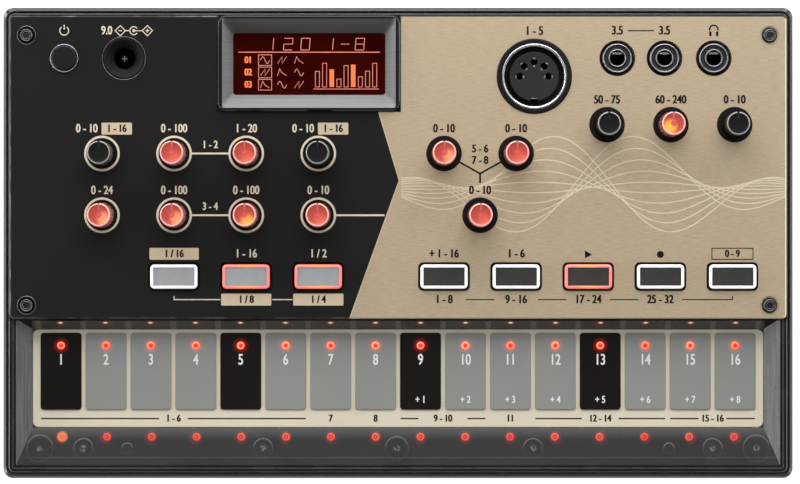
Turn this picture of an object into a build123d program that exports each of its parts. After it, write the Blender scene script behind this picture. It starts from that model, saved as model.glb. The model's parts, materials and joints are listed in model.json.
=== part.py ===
"""Compact tabletop drum machine with a touch strip, lit knobs and keys.

Millimetres.  X runs to the right, Y to the rear, Z up.  The origin is under the middle of the
case, on the surface that the rubber feet stand on.
"""
from build123d import *
from math import cos, pi, sin
import os

os.makedirs("parts", exist_ok=True)

# ---------------------------------------------------------------- overall sizes
CASE_LENGTH = 193.0
CASE_WIDTH = 115.0
TOTAL_HEIGHT = 39.0


def along(share):
    """A place to the right of the middle, as a share of half the case's length."""
    return share * CASE_LENGTH / 2


def across(share):
    """A place to the rear of the middle, as a share of half the case's width."""
    return share * CASE_WIDTH / 2


FOOT_DROP = 1.5             # how far the rubber feet stand out of the floor
DECK_TOP = 28.2             # top face of the upper case
PANEL_THICKNESS = 1.0

# ---------------------------------------------------------------- lower case
WALL = 2.0
FLOOR = 2.0
DRAFT = 2.0                 # how much narrower each side is at the floor
CORNER_R = 2.4
FLOOR_EDGE_R = 1.2
RIM_BELOW_DECK = 1.8        # the upper case stands this far above the rim
RIM_CHAMFER = 0.7
RABBET_DEPTH = 1.5
RIM_LIP = 1.05
RIM_GAP = 0.5               # shadow gap between the rim and the upper case

# ---------------------------------------------------------------- upper case and touch tray
DECK = 1.5
SKIRT = 1.4
UPPER_CORNER_R = 1.4
DECK_CHAMFER = 0.2
TRAY_WALL = 1.3
TRAY_STEP = 0.4             # narrow step around the tray
TRAY_STEP_WIDTH = 0.7
TRAY_MARGIN = 1.75          # from the edge of the upper case to the tray mouth
TRAY_SIDE_RUN = 3.7         # how far the side walls lean in
TRAY_REAR = across(-0.3217)
TRAY_REAR_RUN = 2.6
TRAY_FRONT_RUN = 9.0
TRAY_DEPTH = 3.5            # from the deck down to the touch board
TOUCH_BOARD = 1.0
TOUCH_BOARD_R = 1.5
TOUCH_BOARD_GAP = 0.1

# ---------------------------------------------------------------- touch pads and lights
PAD_COUNT = 16
PAD_GROUP = 4               # every fourth pad, from the first, is a dark one
PAD_GAP = 1.0
PAD_SIDE_MARGIN = 1.5
PAD_REAR_MARGIN = 0.9
PAD_FRONT_MARGIN = 4.4      # room for a line of print
PAD_THICKNESS = 0.25
PAD_R = 0.8
PAD_LIGHT_INSET = 3.1
PAD_LIGHT = (1.7, 1.0, 0.35)
STEP_LIGHT_INSET = 2.4      # from the foot of the front slope
STEP_LIGHT = (2.0, 1.6, 1.5)

# ---------------------------------------------------------------- metal panel
PANEL_SIDE_MARGIN = 0.35
PANEL_REAR_MARGIN = 0.6
PANEL_TRAY_MARGIN = 0.1
PANEL_R = 1.0
PANEL_CHAMFER = 0.3
SCREW_SIDE_INSET = 4.1
SCREW_REAR_INSET = 4.75
SCREW_FRONT_INSET = 3.2
SCREW_SEAT_R = 2.25
SCREW_SEAT_DEPTH = 0.3
SCREW_HEAD_R = 1.9
SCREW_CROWN_R = 1.35
SCREW_HEAD = 0.9
SCREW_R = 0.9
SCREW_LENGTH = 6.0
HEX_R = 1.0

# ---------------------------------------------------------------- display
BEZEL_X = along(-0.2249)
BEZEL_SIDE = 3.6            # run of the side faces down to the window
BEZEL_END = 4.075           # run of the front and rear faces
BEZEL_RISE = 0.8            # above the panel
BEZEL_R = 2.2
BEZEL_CHAMFER = 0.3
BEZEL_LIP = 1.05            # flat lip around the leaning faces
BEZEL_END_LIP = 0.75
MOUTH_R = 1.1
WINDOW_LENGTH = 37.2
WINDOW_WIDTH = 15.1
WINDOW_R = 0.7
WINDOW_DEPTH = 3.7          # from the top of the bezel down to the glass
GLASS = 0.9
GLASS_OVERLAP = 1.0
MODULE_MARGIN = 1.8

# ---------------------------------------------------------------- knobs
LEFT_COLUMN = along(-0.7472)        # first column of the left group
RIGHT_COLUMN = along(0.1161)        # first column of the right group
COLUMN_PITCH = along(0.182)
UPPER_ROW = across(0.379)
LOWER_ROW = across(0.1174)
MASTER_ROW = across(0.501)
MASTER_X = along(0.5275)
MASTER_PITCH = along(0.1611)
KNOB_BASE_R = 3.2
KNOB_SHOULDER_R = 2.9
KNOB_TOP_R = 2.55
KNOB_BEVEL = 0.5
KNOB_FLUTES = 18
FLUTE_DEPTH = 0.18
KNOB_BASE_GAP = 0.3         # under the knob
KNOB_HOLE_GAP = 0.3
POINTER = (0.5, 1.1, 0.35)
SHAFT_R = 1.5
SHAFT_CLEARANCE = 0.07

# ---------------------------------------------------------------- potentiometers
POT = (9.6, 10.6)
POT_BELOW_DECK = 0.2
BUSHING_R = 2.8
BUSHING_GAP = 0.3
SHAFT_REACH = 4.6           # shaft below the deck's underside

# ---------------------------------------------------------------- keys
KEY_ROW = across(-0.1426)
KEY = (11.8, 6.2)
KEY_R = 0.9
KEY_RISE = 1.1              # above the panel
KEY_GAP = 0.4
KEY_FLANGE = 0.8
KEY_FLANGE_THICKNESS = 0.7
KEY_FLANGE_GAP = 0.3
KEY_CHAMFER = 0.25
KEY_FACE = (10.3, 4.7)
KEY_FACE_R = 0.4
KEY_FACE_DEPTH = 0.15
KEY_STEM = 3.0
KEY_TRAVEL = 0.4
KEY_STOP_GAP = 0.1
SWITCH_BODY = 6.0
SWITCH_HEIGHT = 2.0
SWITCH_PLUNGER_R = 1.5
SWITCH_PLUNGER = 0.3

# ---------------------------------------------------------------- power button and sockets
SOCKET_ROW = across(0.7826)
POWER_X = along(-0.8425)
POWER_R = 3.3
POWER_GAP = 0.3
POWER_RISE = 0.7
POWER_CHAMFER = 0.5
POWER_TRAVEL = 0.6
POWER_STEM_R = 1.8
POWER_SWITCH = (6.4, 7.0)
INLET_X = along(-0.6917)
INLET_R = 5.0
INLET_RIM = 0.4             # flat ring around the funnel
INLET_FUNNEL = 2.2
INLET_BORE_R = 2.6
INLET_BORE = 9.5
INLET_PIN_R = 0.85
INLET_BODY = (10.6, 12.0)
ROUND_X = along(0.344)
ROUND_Y = across(0.7061)
ROUND_R = 9.0
ROUND_RISE = 0.3
ROUND_BODY = 19.0
SHIELD_R = 7.9
SHIELD_WALL = 0.6
SHIELD_DEPTH = 9.0
SHIELD_FIT = 0.05
INSERT_R = 6.0
INSERT_RECESS = 0.7
CONTACT_CIRCLE_R = 3.5
CONTACT_COUNT = 5
CONTACT_STEP = 45.0
CONTACT_HOLE_R = 0.85
CONTACT_HOLE = 7.0
CONTACT_SLOT = (2.8, 0.8)   # across each hole, for its two spring leaves
CONTACT_SLOT_DEPTH = 3.0
CONTACT_LEAF = (0.45, 0.6)
CONTACT_LEAF_HEIGHT = 2.5
JACK_X = (along(0.5534), along(0.6725), along(0.7969))
JACK_BORE_R = 1.8
JACK_BORE = 14.0
JACK_RISE = 0.3
FERRULE_R = 3.7
FERRULE_CHAMFER = 0.35
FERRULE_RIM = 0.65
FERRULE_RECESS = 0.4
FERRULE_LIP = 0.45
FERRULE_GAP = 0.4
JACK_BODY = (9.2, 10.0)
SOCKET_GAP = 0.2

# ---------------------------------------------------------------- boards and fasteners
BOARD = 1.6
BOARD_TOP = 21.6            # main board
BOARD_MARGIN = 1.3          # to the wall of the lower case
JACK_BOARD_TOP = 11.6
JACK_BOARD_SIDE_MARGIN = 10.5
JACK_BOARD_REAR_MARGIN = 3.5
JACK_BOARD_FRONT = across(0.532)
BOARD_GAP = 0.4
BOARD_SCREW_R = 0.9
BOARD_SCREW_HEAD_R = 1.8
BOARD_SCREW_HEAD = 1.0
BOARD_BOSS_R = 2.35
# places of the bosses and posts, as shares of half the case's length and width
MAIN_BOSS_SHARES = ((-0.891, -0.07), (-0.891, 0.522), (-0.0415, 0.452), (0.4145, 0.313), (0.912, 0.139),
                    (-0.797, -0.87), (-0.342, -0.87), (0.342, -0.87), (0.797, -0.87))
JACK_POST_SHARES = ((-0.56, 0.661), (-0.083, 0.661), (0.518, 0.6), (0.85, 0.635))
JACK_POST_R = 3.0
CASE_SCREW_SIDE_INSET = 7.35
CASE_SCREW_FRONT_INSET = 4.75
CASE_SCREW_REAR_SHARE = 0.088
CASE_POST_R = 4.0
CASE_POST_TOP = 11.8
CASE_BOSS_R = 2.7
CASE_BOSS_GAP = 0.2
CASE_SCREW_R = 1.3
CASE_HEAD_R = 2.6
CASE_HEAD = 1.8
CASE_SINK_R = 3.0
CASE_SINK = 4.5
CASE_SCREW_LENGTH = 12.0

# ---------------------------------------------------------------- batteries
CELL_R = 7.25
CELL_LENGTH = 50.5
CELL_NUB_R = 2.7
CELL_NUB = 1.0
CELL_GAP = 0.4
CELL_ROWS = 3
BAY_SPEAKER_GAP = 2.6       # between the bay and the speaker's ring
BAY_Y = across(-0.0957)
BAY_END_ROOM = 1.6          # for the contacts
BAY_WALL = 1.2
CONTACT_PLATE = 0.4
CONTACT_PLATE_SIZE = 12.0
CELL_CONTACT_GAP = 0.07
SPRING_R = 3.6
SPRING_TIP_R = 2.2
COVER_LEDGE = 2.8
COVER_PLATE = 1.0
COVER_GAP = 0.3
COVER_CLEAR = 0.35          # between the cover and the cells
COVER_GRIP = (12.0, 1.0, 0.4)
COVER_GRIP_COUNT = 5

# ---------------------------------------------------------------- speaker and feet
SPEAKER_X = along(0.6425)
SPEAKER_Y = across(-0.1043)
SPEAKER_R = 20.0
SPEAKER_FLANGE = 1.2
SPEAKER_DEPTH = 7.0
SPEAKER_WALL = 0.8
MAGNET_R = 10.5
MAGNET = 4.5
CONE_R = 17.0
CONE_TIP_R = 6.0
CONE_DEPTH = 4.5
CONE_WALL = 0.6
RING_WALL = 1.2
RING_GAP = 0.4              # between the ring and the flange
RING_HEIGHT = 3.0
SLOT = 1.8
SLOT_PITCH = 4.0
SLOT_FIELD_R = 16.0
FOOT_R = 6.0
FOOT_SINK = 0.6
FOOT_CHAMFER = 0.4
FOOT_SIDE_INSET = 12.5
FOOT_END_INSET = 15.5

# ---------------------------------------------------------------- worked-out heights and places
CASE_BOTTOM = FOOT_DROP
FLOOR_TOP = CASE_BOTTOM + FLOOR
RIM_TOP = DECK_TOP - RIM_BELOW_DECK
RABBET_Z = RIM_TOP - RABBET_DEPTH
SHOULDER = RIM_TOP - RIM_CHAMFER            # height of the case's full outline
CASE_SCREW_SEAT = CASE_BOTTOM + CASE_SINK
CASE_SCREW_TIP = CASE_SCREW_SEAT + CASE_SCREW_LENGTH
DECK_BOTTOM = DECK_TOP - DECK
PANEL_TOP = DECK_TOP + PANEL_THICKNESS
UPPER_LENGTH = CASE_LENGTH - 2 * (RIM_LIP + RIM_GAP)
UPPER_WIDTH = CASE_WIDTH - 2 * (RIM_LIP + RIM_GAP)
TRAY_Z = DECK_TOP - TRAY_DEPTH
TRAY_TOP_HALF = UPPER_LENGTH / 2 - TRAY_MARGIN
TRAY_HALF = TRAY_TOP_HALF - TRAY_SIDE_RUN
TRAY_FRONT = TRAY_MARGIN - UPPER_WIDTH / 2
TRAY_FLOOR_REAR = TRAY_REAR - TRAY_REAR_RUN
TRAY_FLOOR_FRONT = TRAY_FRONT + TRAY_FRONT_RUN
PAD_PITCH = 2 * (TRAY_HALF - PAD_SIDE_MARGIN) / PAD_COUNT
PAD_LENGTH = TRAY_FLOOR_REAR - TRAY_FLOOR_FRONT - PAD_REAR_MARGIN - PAD_FRONT_MARGIN
PANEL_LENGTH = UPPER_LENGTH - 2 * PANEL_SIDE_MARGIN
PANEL_REAR = UPPER_WIDTH / 2 - PANEL_REAR_MARGIN
PANEL_FRONT = TRAY_REAR + PANEL_TRAY_MARGIN
PANEL_SCREW_X = PANEL_LENGTH / 2 - SCREW_SIDE_INSET
PANEL_SCREW_REAR = PANEL_REAR - SCREW_REAR_INSET
PANEL_SCREW_FRONT = PANEL_FRONT + SCREW_FRONT_INSET
BOARD_BOTTOM = BOARD_TOP - BOARD
JACK_BOARD_HALF = CASE_LENGTH / 2 - JACK_BOARD_SIDE_MARGIN
JACK_BOARD_REAR = CASE_WIDTH / 2 - JACK_BOARD_REAR_MARGIN
BEZEL_LENGTH = WINDOW_LENGTH + 2 * BEZEL_SIDE
BEZEL_WIDTH = WINDOW_WIDTH + 2 * BEZEL_END
BEZEL_FRONT = PANEL_REAR - BEZEL_WIDTH
BEZEL_Y = PANEL_REAR - BEZEL_WIDTH / 2
BEZEL_TOP = PANEL_TOP + BEZEL_RISE
GLASS_TOP = BEZEL_TOP - WINDOW_DEPTH
KNOB_BOTTOM = DECK_TOP + KNOB_BASE_GAP
KNOB_HOLE_R = KNOB_BASE_R + KNOB_HOLE_GAP
KEY_TOP = PANEL_TOP + KEY_RISE
KEY_HOLE = (KEY[0] + 2 * KEY_GAP, KEY[1] + 2 * KEY_GAP)
CELL_Z = FLOOR_TOP + COVER_CLEAR + CELL_R
CELL_PITCH = 2 * CELL_R + CELL_GAP
BAY_LENGTH = 2 * CELL_LENGTH + 2 * BAY_END_ROOM
BAY_WIDTH = CELL_ROWS * CELL_PITCH + CELL_GAP
BAY_TOP = CELL_Z + CELL_R + COVER_CLEAR
SPEAKER_RING_R = SPEAKER_R + RING_GAP + RING_WALL
BAY_X = SPEAKER_X - SPEAKER_RING_R - BAY_SPEAKER_GAP - BAY_WALL - BAY_LENGTH / 2
FOOT_X = CASE_LENGTH / 2 - FOOT_SIDE_INSET
FOOT_Y = CASE_WIDTH / 2 - FOOT_END_INSET

KNOBS = {
    "level_knob": (LEFT_COLUMN, UPPER_ROW),
    "amount_knob": (LEFT_COLUMN + COLUMN_PITCH, UPPER_ROW),
    "rate_knob": (LEFT_COLUMN + 2 * COLUMN_PITCH, UPPER_ROW),
    "select_knob": (LEFT_COLUMN + 3 * COLUMN_PITCH, UPPER_ROW),
    "pitch_knob": (LEFT_COLUMN, LOWER_ROW),
    "attack_knob": (LEFT_COLUMN + COLUMN_PITCH, LOWER_ROW),
    "release_knob": (LEFT_COLUMN + 2 * COLUMN_PITCH, LOWER_ROW),
    "send_knob": (LEFT_COLUMN + 3 * COLUMN_PITCH, LOWER_ROW),
    "decay_knob": (RIGHT_COLUMN, UPPER_ROW),
    "tone_knob": (RIGHT_COLUMN + COLUMN_PITCH, UPPER_ROW),
    "tune_knob": (RIGHT_COLUMN + COLUMN_PITCH / 2, LOWER_ROW),
    "swing_knob": (MASTER_X, MASTER_ROW),
    "tempo_knob": (MASTER_X + MASTER_PITCH, MASTER_ROW),
    "volume_knob": (MASTER_X + 2 * MASTER_PITCH, MASTER_ROW),
}
KEYS = {
    "shift_key": LEFT_COLUMN + COLUMN_PITCH,
    "layer_key": LEFT_COLUMN + 2 * COLUMN_PITCH,
    "edit_key": LEFT_COLUMN + 3 * COLUMN_PITCH,
    "step_key": RIGHT_COLUMN,
    "mute_key": RIGHT_COLUMN + COLUMN_PITCH,
    "play_key": RIGHT_COLUMN + 2 * COLUMN_PITCH,
    "record_key": RIGHT_COLUMN + 3 * COLUMN_PITCH,
    "function_key": RIGHT_COLUMN + 4 * COLUMN_PITCH,
}
PANEL_SCREWS = [(side * PANEL_SCREW_X, y) for side in (-1, 1)
                for y in (PANEL_SCREW_FRONT, PANEL_SCREW_REAR)]
MAIN_BOSSES = [(along(x), across(y)) for x, y in MAIN_BOSS_SHARES]
JACK_POSTS = [(along(x), across(y)) for x, y in JACK_POST_SHARES]
CASE_SCREWS = [(side * (UPPER_LENGTH / 2 - CASE_SCREW_SIDE_INSET), CASE_SCREW_FRONT_INSET - UPPER_WIDTH / 2)
               for side in (-1, 0, 1)]
CASE_SCREWS += [(x, PANEL_SCREW_REAR) for x in (-PANEL_SCREW_X, along(CASE_SCREW_REAR_SHARE), PANEL_SCREW_X)]
PAD_XS = [(i - (PAD_COUNT - 1) / 2) * PAD_PITCH for i in range(PAD_COUNT)]
CONTACT_TURNS = [i * CONTACT_STEP for i in range(CONTACT_COUNT)]


# ---------------------------------------------------------------- shared shapes
def disc(x, y, radius, low, high):
    """An upright cylinder between two heights."""
    return Pos(x, y, low) * Cylinder(radius, high - low, align=(Align.CENTER, Align.CENTER, Align.MIN))


def cone(x, y, low_r, high_r, low, high):
    """An upright truncated cone."""
    return Pos(x, y, low) * Cone(low_r, high_r, high - low, align=(Align.CENTER, Align.CENTER, Align.MIN))


def block(left, right, front, rear, low, high):
    """A box given by its six faces."""
    size = Box(right - left, rear - front, high - low, align=(Align.MIN, Align.MIN, Align.MIN))
    return Pos(left, front, low) * size


def slab(x, y, length, width, low, high, radius):
    """A plate with rounded upright corners."""
    return extrude(Pos(x, y, low) * RectangleRounded(length, width, radius), high - low)


def brick(x, y, length, width, low, high):
    """A box given by its middle and its two heights."""
    return block(x - length / 2, x + length / 2, y - width / 2, y + width / 2, low, high)


def frustum(low_face, high_face):
    """A ruled solid between two flat faces."""
    return loft([low_face, high_face], ruled=True)


def rectangle(left, right, front, rear, height):
    """A flat rectangle at a height, given by its four sides."""
    return Pos((left + right) / 2, (front + rear) / 2, height) * Rectangle(right - left, rear - front)


def save(name, *solids):
    """Write one node, which may hold several separate solids."""
    shape = solids[0] if len(solids) == 1 else Compound(children=list(solids))
    export_step(shape, os.path.join("parts", name + ".step"))


# ---------------------------------------------------------------- lower case
def case_face(inset, height, radius):
    """The case outline at a height, drawn in from the outside by an inset."""
    drop = (SHOULDER - height) / (SHOULDER - CASE_BOTTOM) * DRAFT
    length = CASE_LENGTH - 2 * (inset + drop)
    width = CASE_WIDTH - 2 * (inset + drop)
    return Pos(0, 0, height) * RectangleRounded(length, width, radius)


def grille(depth_low, depth_high):
    """Round field of parallel sound slots with rounded ends."""
    slots = []
    count = int(SLOT_FIELD_R // SLOT_PITCH)
    for i in range(-count, count + 1):
        offset = i * SLOT_PITCH
        length = 2 * (SLOT_FIELD_R ** 2 - offset ** 2) ** 0.5
        if length > 3 * SLOT:
            outline = Pos(SPEAKER_X + offset, SPEAKER_Y, depth_low) * SlotOverall(length, SLOT, rotation=90)
            slots.append(extrude(outline, depth_high - depth_low))
    return slots


def cover_plate(margin, low, high):
    """The plate that fills the recess around the battery bay, smaller by a margin."""
    length = BAY_LENGTH + 2 * (COVER_LEDGE - margin)
    width = BAY_WIDTH + 2 * (COVER_LEDGE - margin)
    return slab(BAY_X, BAY_Y, length, width, low, high, COVER_LEDGE / 2)


def lower_case():
    """Tub with a stepped rim, battery bay, sound slots, screw posts and foot recesses."""
    outer = frustum(case_face(0, CASE_BOTTOM, CORNER_R), case_face(0, SHOULDER, CORNER_R))
    outer = fillet(outer.edges().group_by(Axis.Z)[0], FLOOR_EDGE_R)
    outer += frustum(case_face(0, SHOULDER, CORNER_R), case_face(RIM_CHAMFER, RIM_TOP, CORNER_R))
    hollow = frustum(case_face(WALL, FLOOR_TOP, CORNER_R / 2), case_face(WALL, RIM_TOP, CORNER_R / 2))
    rabbet = slab(0, 0, CASE_LENGTH - 2 * RIM_LIP, CASE_WIDTH - 2 * RIM_LIP,
                  RABBET_Z, RIM_TOP, UPPER_CORNER_R + RIM_GAP)
    case = outer - hollow - rabbet
    case += brick(BAY_X, BAY_Y, BAY_LENGTH + 2 * BAY_WALL, BAY_WIDTH + 2 * BAY_WALL,
                  FLOOR_TOP, BAY_TOP + BAY_WALL)
    case += [disc(x, y, CASE_POST_R, FLOOR_TOP, CASE_POST_TOP) & hollow for x, y in CASE_SCREWS]
    case += [disc(x, y, JACK_POST_R, FLOOR_TOP, JACK_BOARD_TOP - BOARD) for x, y in JACK_POSTS]
    case += disc(SPEAKER_X, SPEAKER_Y, SPEAKER_RING_R, FLOOR_TOP, FLOOR_TOP + RING_HEIGHT)
    case -= disc(SPEAKER_X, SPEAKER_Y, SPEAKER_R + RING_GAP, FLOOR_TOP, FLOOR_TOP + RING_HEIGHT)
    case -= brick(BAY_X, BAY_Y, BAY_LENGTH, BAY_WIDTH, CASE_BOTTOM, BAY_TOP)
    case -= cover_plate(0, CASE_BOTTOM, CASE_BOTTOM + COVER_PLATE + COVER_GAP)
    case -= [disc(x, y, CASE_SINK_R, CASE_BOTTOM, CASE_SCREW_SEAT) for x, y in CASE_SCREWS]
    case -= [disc(x, y, CASE_SCREW_R + CASE_BOSS_GAP, CASE_BOTTOM, CASE_POST_TOP) for x, y in CASE_SCREWS]
    case -= [disc(x, y, BOARD_SCREW_R, FLOOR_TOP, JACK_BOARD_TOP) for x, y in JACK_POSTS]
    case -= [disc(sx * FOOT_X, sy * FOOT_Y, FOOT_R, CASE_BOTTOM, CASE_BOTTOM + FOOT_SINK)
             for sx in (-1, 1) for sy in (-1, 1)]
    case -= grille(CASE_BOTTOM, FLOOR_TOP)
    return case


def battery_cover():
    """Lid of the battery bay with a raised inner plate and finger ridges."""
    lid = cover_plate(COVER_GAP, CASE_BOTTOM, CASE_BOTTOM + COVER_PLATE)
    lid += brick(BAY_X, BAY_Y, BAY_LENGTH - 2 * COVER_GAP, BAY_WIDTH - 2 * COVER_GAP,
                 CASE_BOTTOM + COVER_PLATE, FLOOR_TOP)
    length, width, depth = COVER_GRIP
    rear = BAY_Y + BAY_WIDTH / 2
    for i in range(COVER_GRIP_COUNT):
        lid -= brick(BAY_X, rear - (2 * i + 1) * width, length, width, CASE_BOTTOM, CASE_BOTTOM + depth)
    return lid


def rubber_feet():
    foot = disc(0, 0, FOOT_R, 0, CASE_BOTTOM + FOOT_SINK)
    foot = chamfer(foot.edges().group_by(Axis.Z)[0], FOOT_CHAMFER)
    return [Pos(sx * FOOT_X, sy * FOOT_Y, 0) * foot for sx in (-1, 1) for sy in (-1, 1)]


# ---------------------------------------------------------------- upper case
def tray_space(grow, low, high):
    """The leaning space of the touch tray between two heights, grown outwards."""
    def at(height):
        share = (height - TRAY_Z) / (DECK_TOP - TRAY_STEP - TRAY_Z)
        half = TRAY_HALF + TRAY_SIDE_RUN * share + grow
        front = TRAY_FLOOR_FRONT - TRAY_FRONT_RUN * share - grow
        rear = TRAY_FLOOR_REAR + TRAY_REAR_RUN * share + grow
        return rectangle(-half, half, front, rear, height)
    return frustum(at(low), at(high))


def board_space(gap):
    """The round-cornered plate in the floor of the tray, smaller by a gap all round."""
    return slab(0, (TRAY_FLOOR_FRONT + TRAY_FLOOR_REAR) / 2, 2 * (TRAY_HALF - gap),
                TRAY_FLOOR_REAR - TRAY_FLOOR_FRONT - 2 * gap, TRAY_Z - TOUCH_BOARD, TRAY_Z, TOUCH_BOARD_R - gap)


def panel_holes(grow, low, high):
    """Every hole that the panel and the deck share, wider by an amount."""
    holes = [disc(x, y, KNOB_HOLE_R + grow, low, high) for x, y in KNOBS.values()]
    holes += [slab(x, KEY_ROW, KEY_HOLE[0], KEY_HOLE[1], low, high, KEY_R + KEY_GAP) for x in KEYS.values()]
    holes += [disc(x, SOCKET_ROW, FERRULE_R + FERRULE_GAP + grow, low, high) for x in JACK_X]
    holes += [disc(POWER_X, SOCKET_ROW, POWER_R + POWER_GAP, low, high)]
    holes += [disc(INLET_X, SOCKET_ROW, INLET_R + SOCKET_GAP, low, high)]
    holes += [disc(ROUND_X, ROUND_Y, ROUND_R + SOCKET_GAP, low, high)]
    return holes


def upper_case():
    """Smoked moulding: deck under the panel, skirt, leaning touch tray and screw bosses."""
    outer = slab(0, 0, UPPER_LENGTH, UPPER_WIDTH, RABBET_Z, DECK_TOP, UPPER_CORNER_R)
    outer = chamfer(outer.edges().group_by(Axis.Z)[-1], DECK_CHAMFER)
    room = slab(0, 0, UPPER_LENGTH - 2 * SKIRT, UPPER_WIDTH - 2 * SKIRT, RABBET_Z, DECK_BOTTOM, UPPER_CORNER_R / 2)
    case = outer - room
    case += tray_space(TRAY_WALL, TRAY_Z - TOUCH_BOARD - TRAY_WALL, DECK_BOTTOM)
    bosses = [disc(x, y, CASE_BOSS_R, CASE_POST_TOP + CASE_BOSS_GAP, DECK_BOTTOM) for x, y in CASE_SCREWS]
    bosses += [disc(x, y, BOARD_BOSS_R, BOARD_TOP, DECK_BOTTOM) for x, y in MAIN_BOSSES]
    bosses += [disc(x, y, BOARD_BOSS_R, BOARD_TOP, DECK_BOTTOM) for x, y in PANEL_SCREWS if y < 0]
    case += bosses
    lip = TRAY_TOP_HALF + TRAY_STEP_WIDTH
    case -= block(-lip, lip, TRAY_FRONT - TRAY_STEP_WIDTH, TRAY_REAR, DECK_TOP - TRAY_STEP, DECK_TOP)
    case -= tray_space(0, TRAY_Z, DECK_TOP - TRAY_STEP)
    case -= board_space(0)
    case -= [disc(x, y, BUSHING_R + BUSHING_GAP, DECK_BOTTOM, DECK_TOP) for x, y in KNOBS.values()]
    case -= panel_holes(0, DECK_BOTTOM, DECK_TOP)[len(KNOBS):]
    case -= slab(BEZEL_X, BEZEL_Y, BEZEL_LENGTH - 2 * BEZEL_LIP + 2 * SOCKET_GAP,
                 BEZEL_WIDTH - 2 * BEZEL_LIP + 2 * SOCKET_GAP, DECK_BOTTOM, DECK_TOP, BEZEL_R / 2)
    case -= [disc(x, y, CASE_SCREW_R, CASE_POST_TOP, CASE_SCREW_TIP + CASE_BOSS_GAP) for x, y in CASE_SCREWS]
    case -= [disc(x, y, BOARD_SCREW_R, BOARD_TOP, DECK_BOTTOM - DECK) for x, y in MAIN_BOSSES]
    case -= [disc(x, y, SCREW_R, DECK_TOP - SCREW_LENGTH, DECK_TOP) for x, y in PANEL_SCREWS]
    return case


# ---------------------------------------------------------------- metal panel and its screws
def front_panel():
    """Metal plate with a bevelled outline, notched at the rear for the display."""
    y = (PANEL_REAR + PANEL_FRONT) / 2
    plate = slab(0, y, PANEL_LENGTH, PANEL_REAR - PANEL_FRONT, DECK_TOP, PANEL_TOP, PANEL_R)
    plate = chamfer(plate.edges().group_by(Axis.Z)[-1], PANEL_CHAMFER)
    plate -= panel_holes(0, DECK_TOP, PANEL_TOP)
    half = BEZEL_LENGTH / 2 + SOCKET_GAP
    plate -= block(BEZEL_X - half, BEZEL_X + half, BEZEL_FRONT - SOCKET_GAP, PANEL_REAR, DECK_TOP, PANEL_TOP)
    plate -= [disc(x, y, SCREW_SEAT_R, PANEL_TOP - SCREW_SEAT_DEPTH, PANEL_TOP) for x, y in PANEL_SCREWS]
    plate -= [disc(x, y, SCREW_R, DECK_TOP, PANEL_TOP) for x, y in PANEL_SCREWS]
    return plate


def panel_screw(x, y):
    """Black button screw with a hexagon socket."""
    seat = PANEL_TOP - SCREW_SEAT_DEPTH
    screw = cone(x, y, SCREW_HEAD_R, SCREW_CROWN_R, seat, seat + SCREW_HEAD)
    screw += disc(x, y, SCREW_R, DECK_TOP - SCREW_LENGTH, seat)
    socket = extrude(Pos(x, y, seat + SCREW_HEAD / 3) * RegularPolygon(HEX_R, 6), SCREW_HEAD)
    return screw - socket


# ---------------------------------------------------------------- display
def display_bezel():
    """Raised frame whose faces slope down to the display window."""
    frame = slab(BEZEL_X, BEZEL_Y, BEZEL_LENGTH, BEZEL_WIDTH, DECK_TOP, BEZEL_TOP, BEZEL_R)
    frame = chamfer(frame.edges().group_by(Axis.Z)[-1], BEZEL_CHAMFER)
    frame += slab(BEZEL_X, BEZEL_Y, BEZEL_LENGTH - 2 * BEZEL_LIP, BEZEL_WIDTH - 2 * BEZEL_LIP,
                  GLASS_TOP, DECK_TOP, BEZEL_R / 2)
    window = RectangleRounded(WINDOW_LENGTH, WINDOW_WIDTH, WINDOW_R)
    mouth = RectangleRounded(BEZEL_LENGTH - 2 * BEZEL_LIP, BEZEL_WIDTH - 2 * BEZEL_END_LIP, MOUTH_R)
    return frame - frustum(Pos(BEZEL_X, BEZEL_Y, GLASS_TOP) * window, Pos(BEZEL_X, BEZEL_Y, BEZEL_TOP) * mouth)


def display_glass():
    return brick(BEZEL_X, BEZEL_Y, WINDOW_LENGTH + 2 * GLASS_OVERLAP, WINDOW_WIDTH + 2 * GLASS_OVERLAP,
                 GLASS_TOP - GLASS, GLASS_TOP)


def display_module():
    return brick(BEZEL_X, BEZEL_Y, WINDOW_LENGTH + 2 * (GLASS_OVERLAP + MODULE_MARGIN),
                 WINDOW_WIDTH + 2 * (GLASS_OVERLAP + MODULE_MARGIN), BOARD_TOP, GLASS_TOP - GLASS)


# ---------------------------------------------------------------- touch strip
def touch_board():
    return board_space(TOUCH_BOARD_GAP)


def touch_pads(dark):
    """Four dark pads, or the other twelve."""
    rear = TRAY_FLOOR_REAR - PAD_REAR_MARGIN
    places = [x for i, x in enumerate(PAD_XS) if (i % PAD_GROUP == 0) == dark]
    return [slab(x, rear - PAD_LENGTH / 2, PAD_PITCH - PAD_GAP, PAD_LENGTH, TRAY_Z, TRAY_Z + PAD_THICKNESS, PAD_R)
            for x in places]


def pad_lights():
    y = TRAY_FLOOR_REAR - PAD_REAR_MARGIN - PAD_LIGHT_INSET
    base = TRAY_Z + PAD_THICKNESS
    return [brick(x, y, PAD_LIGHT[0], PAD_LIGHT[1], base, base + PAD_LIGHT[2]) for x in PAD_XS]


def step_lights():
    y = TRAY_FLOOR_FRONT - STEP_LIGHT_INSET
    return [brick(x, y, STEP_LIGHT[0], STEP_LIGHT[1], BOARD_TOP, BOARD_TOP + STEP_LIGHT[2]) for x in PAD_XS]


# ---------------------------------------------------------------- knobs and their potentiometers
def fluted_face(radius, depth, height):
    """A flat outline with evenly spaced grooves, or a plain many-sided one where depth is 0."""
    points = []
    for i in range(2 * KNOB_FLUTES):
        turn = pi * i / KNOB_FLUTES
        reach = radius - depth * (i % 2)
        points.append((reach * cos(turn), reach * sin(turn)))
    return Pos(0, 0, height) * Polygon(*points, align=None)


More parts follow.
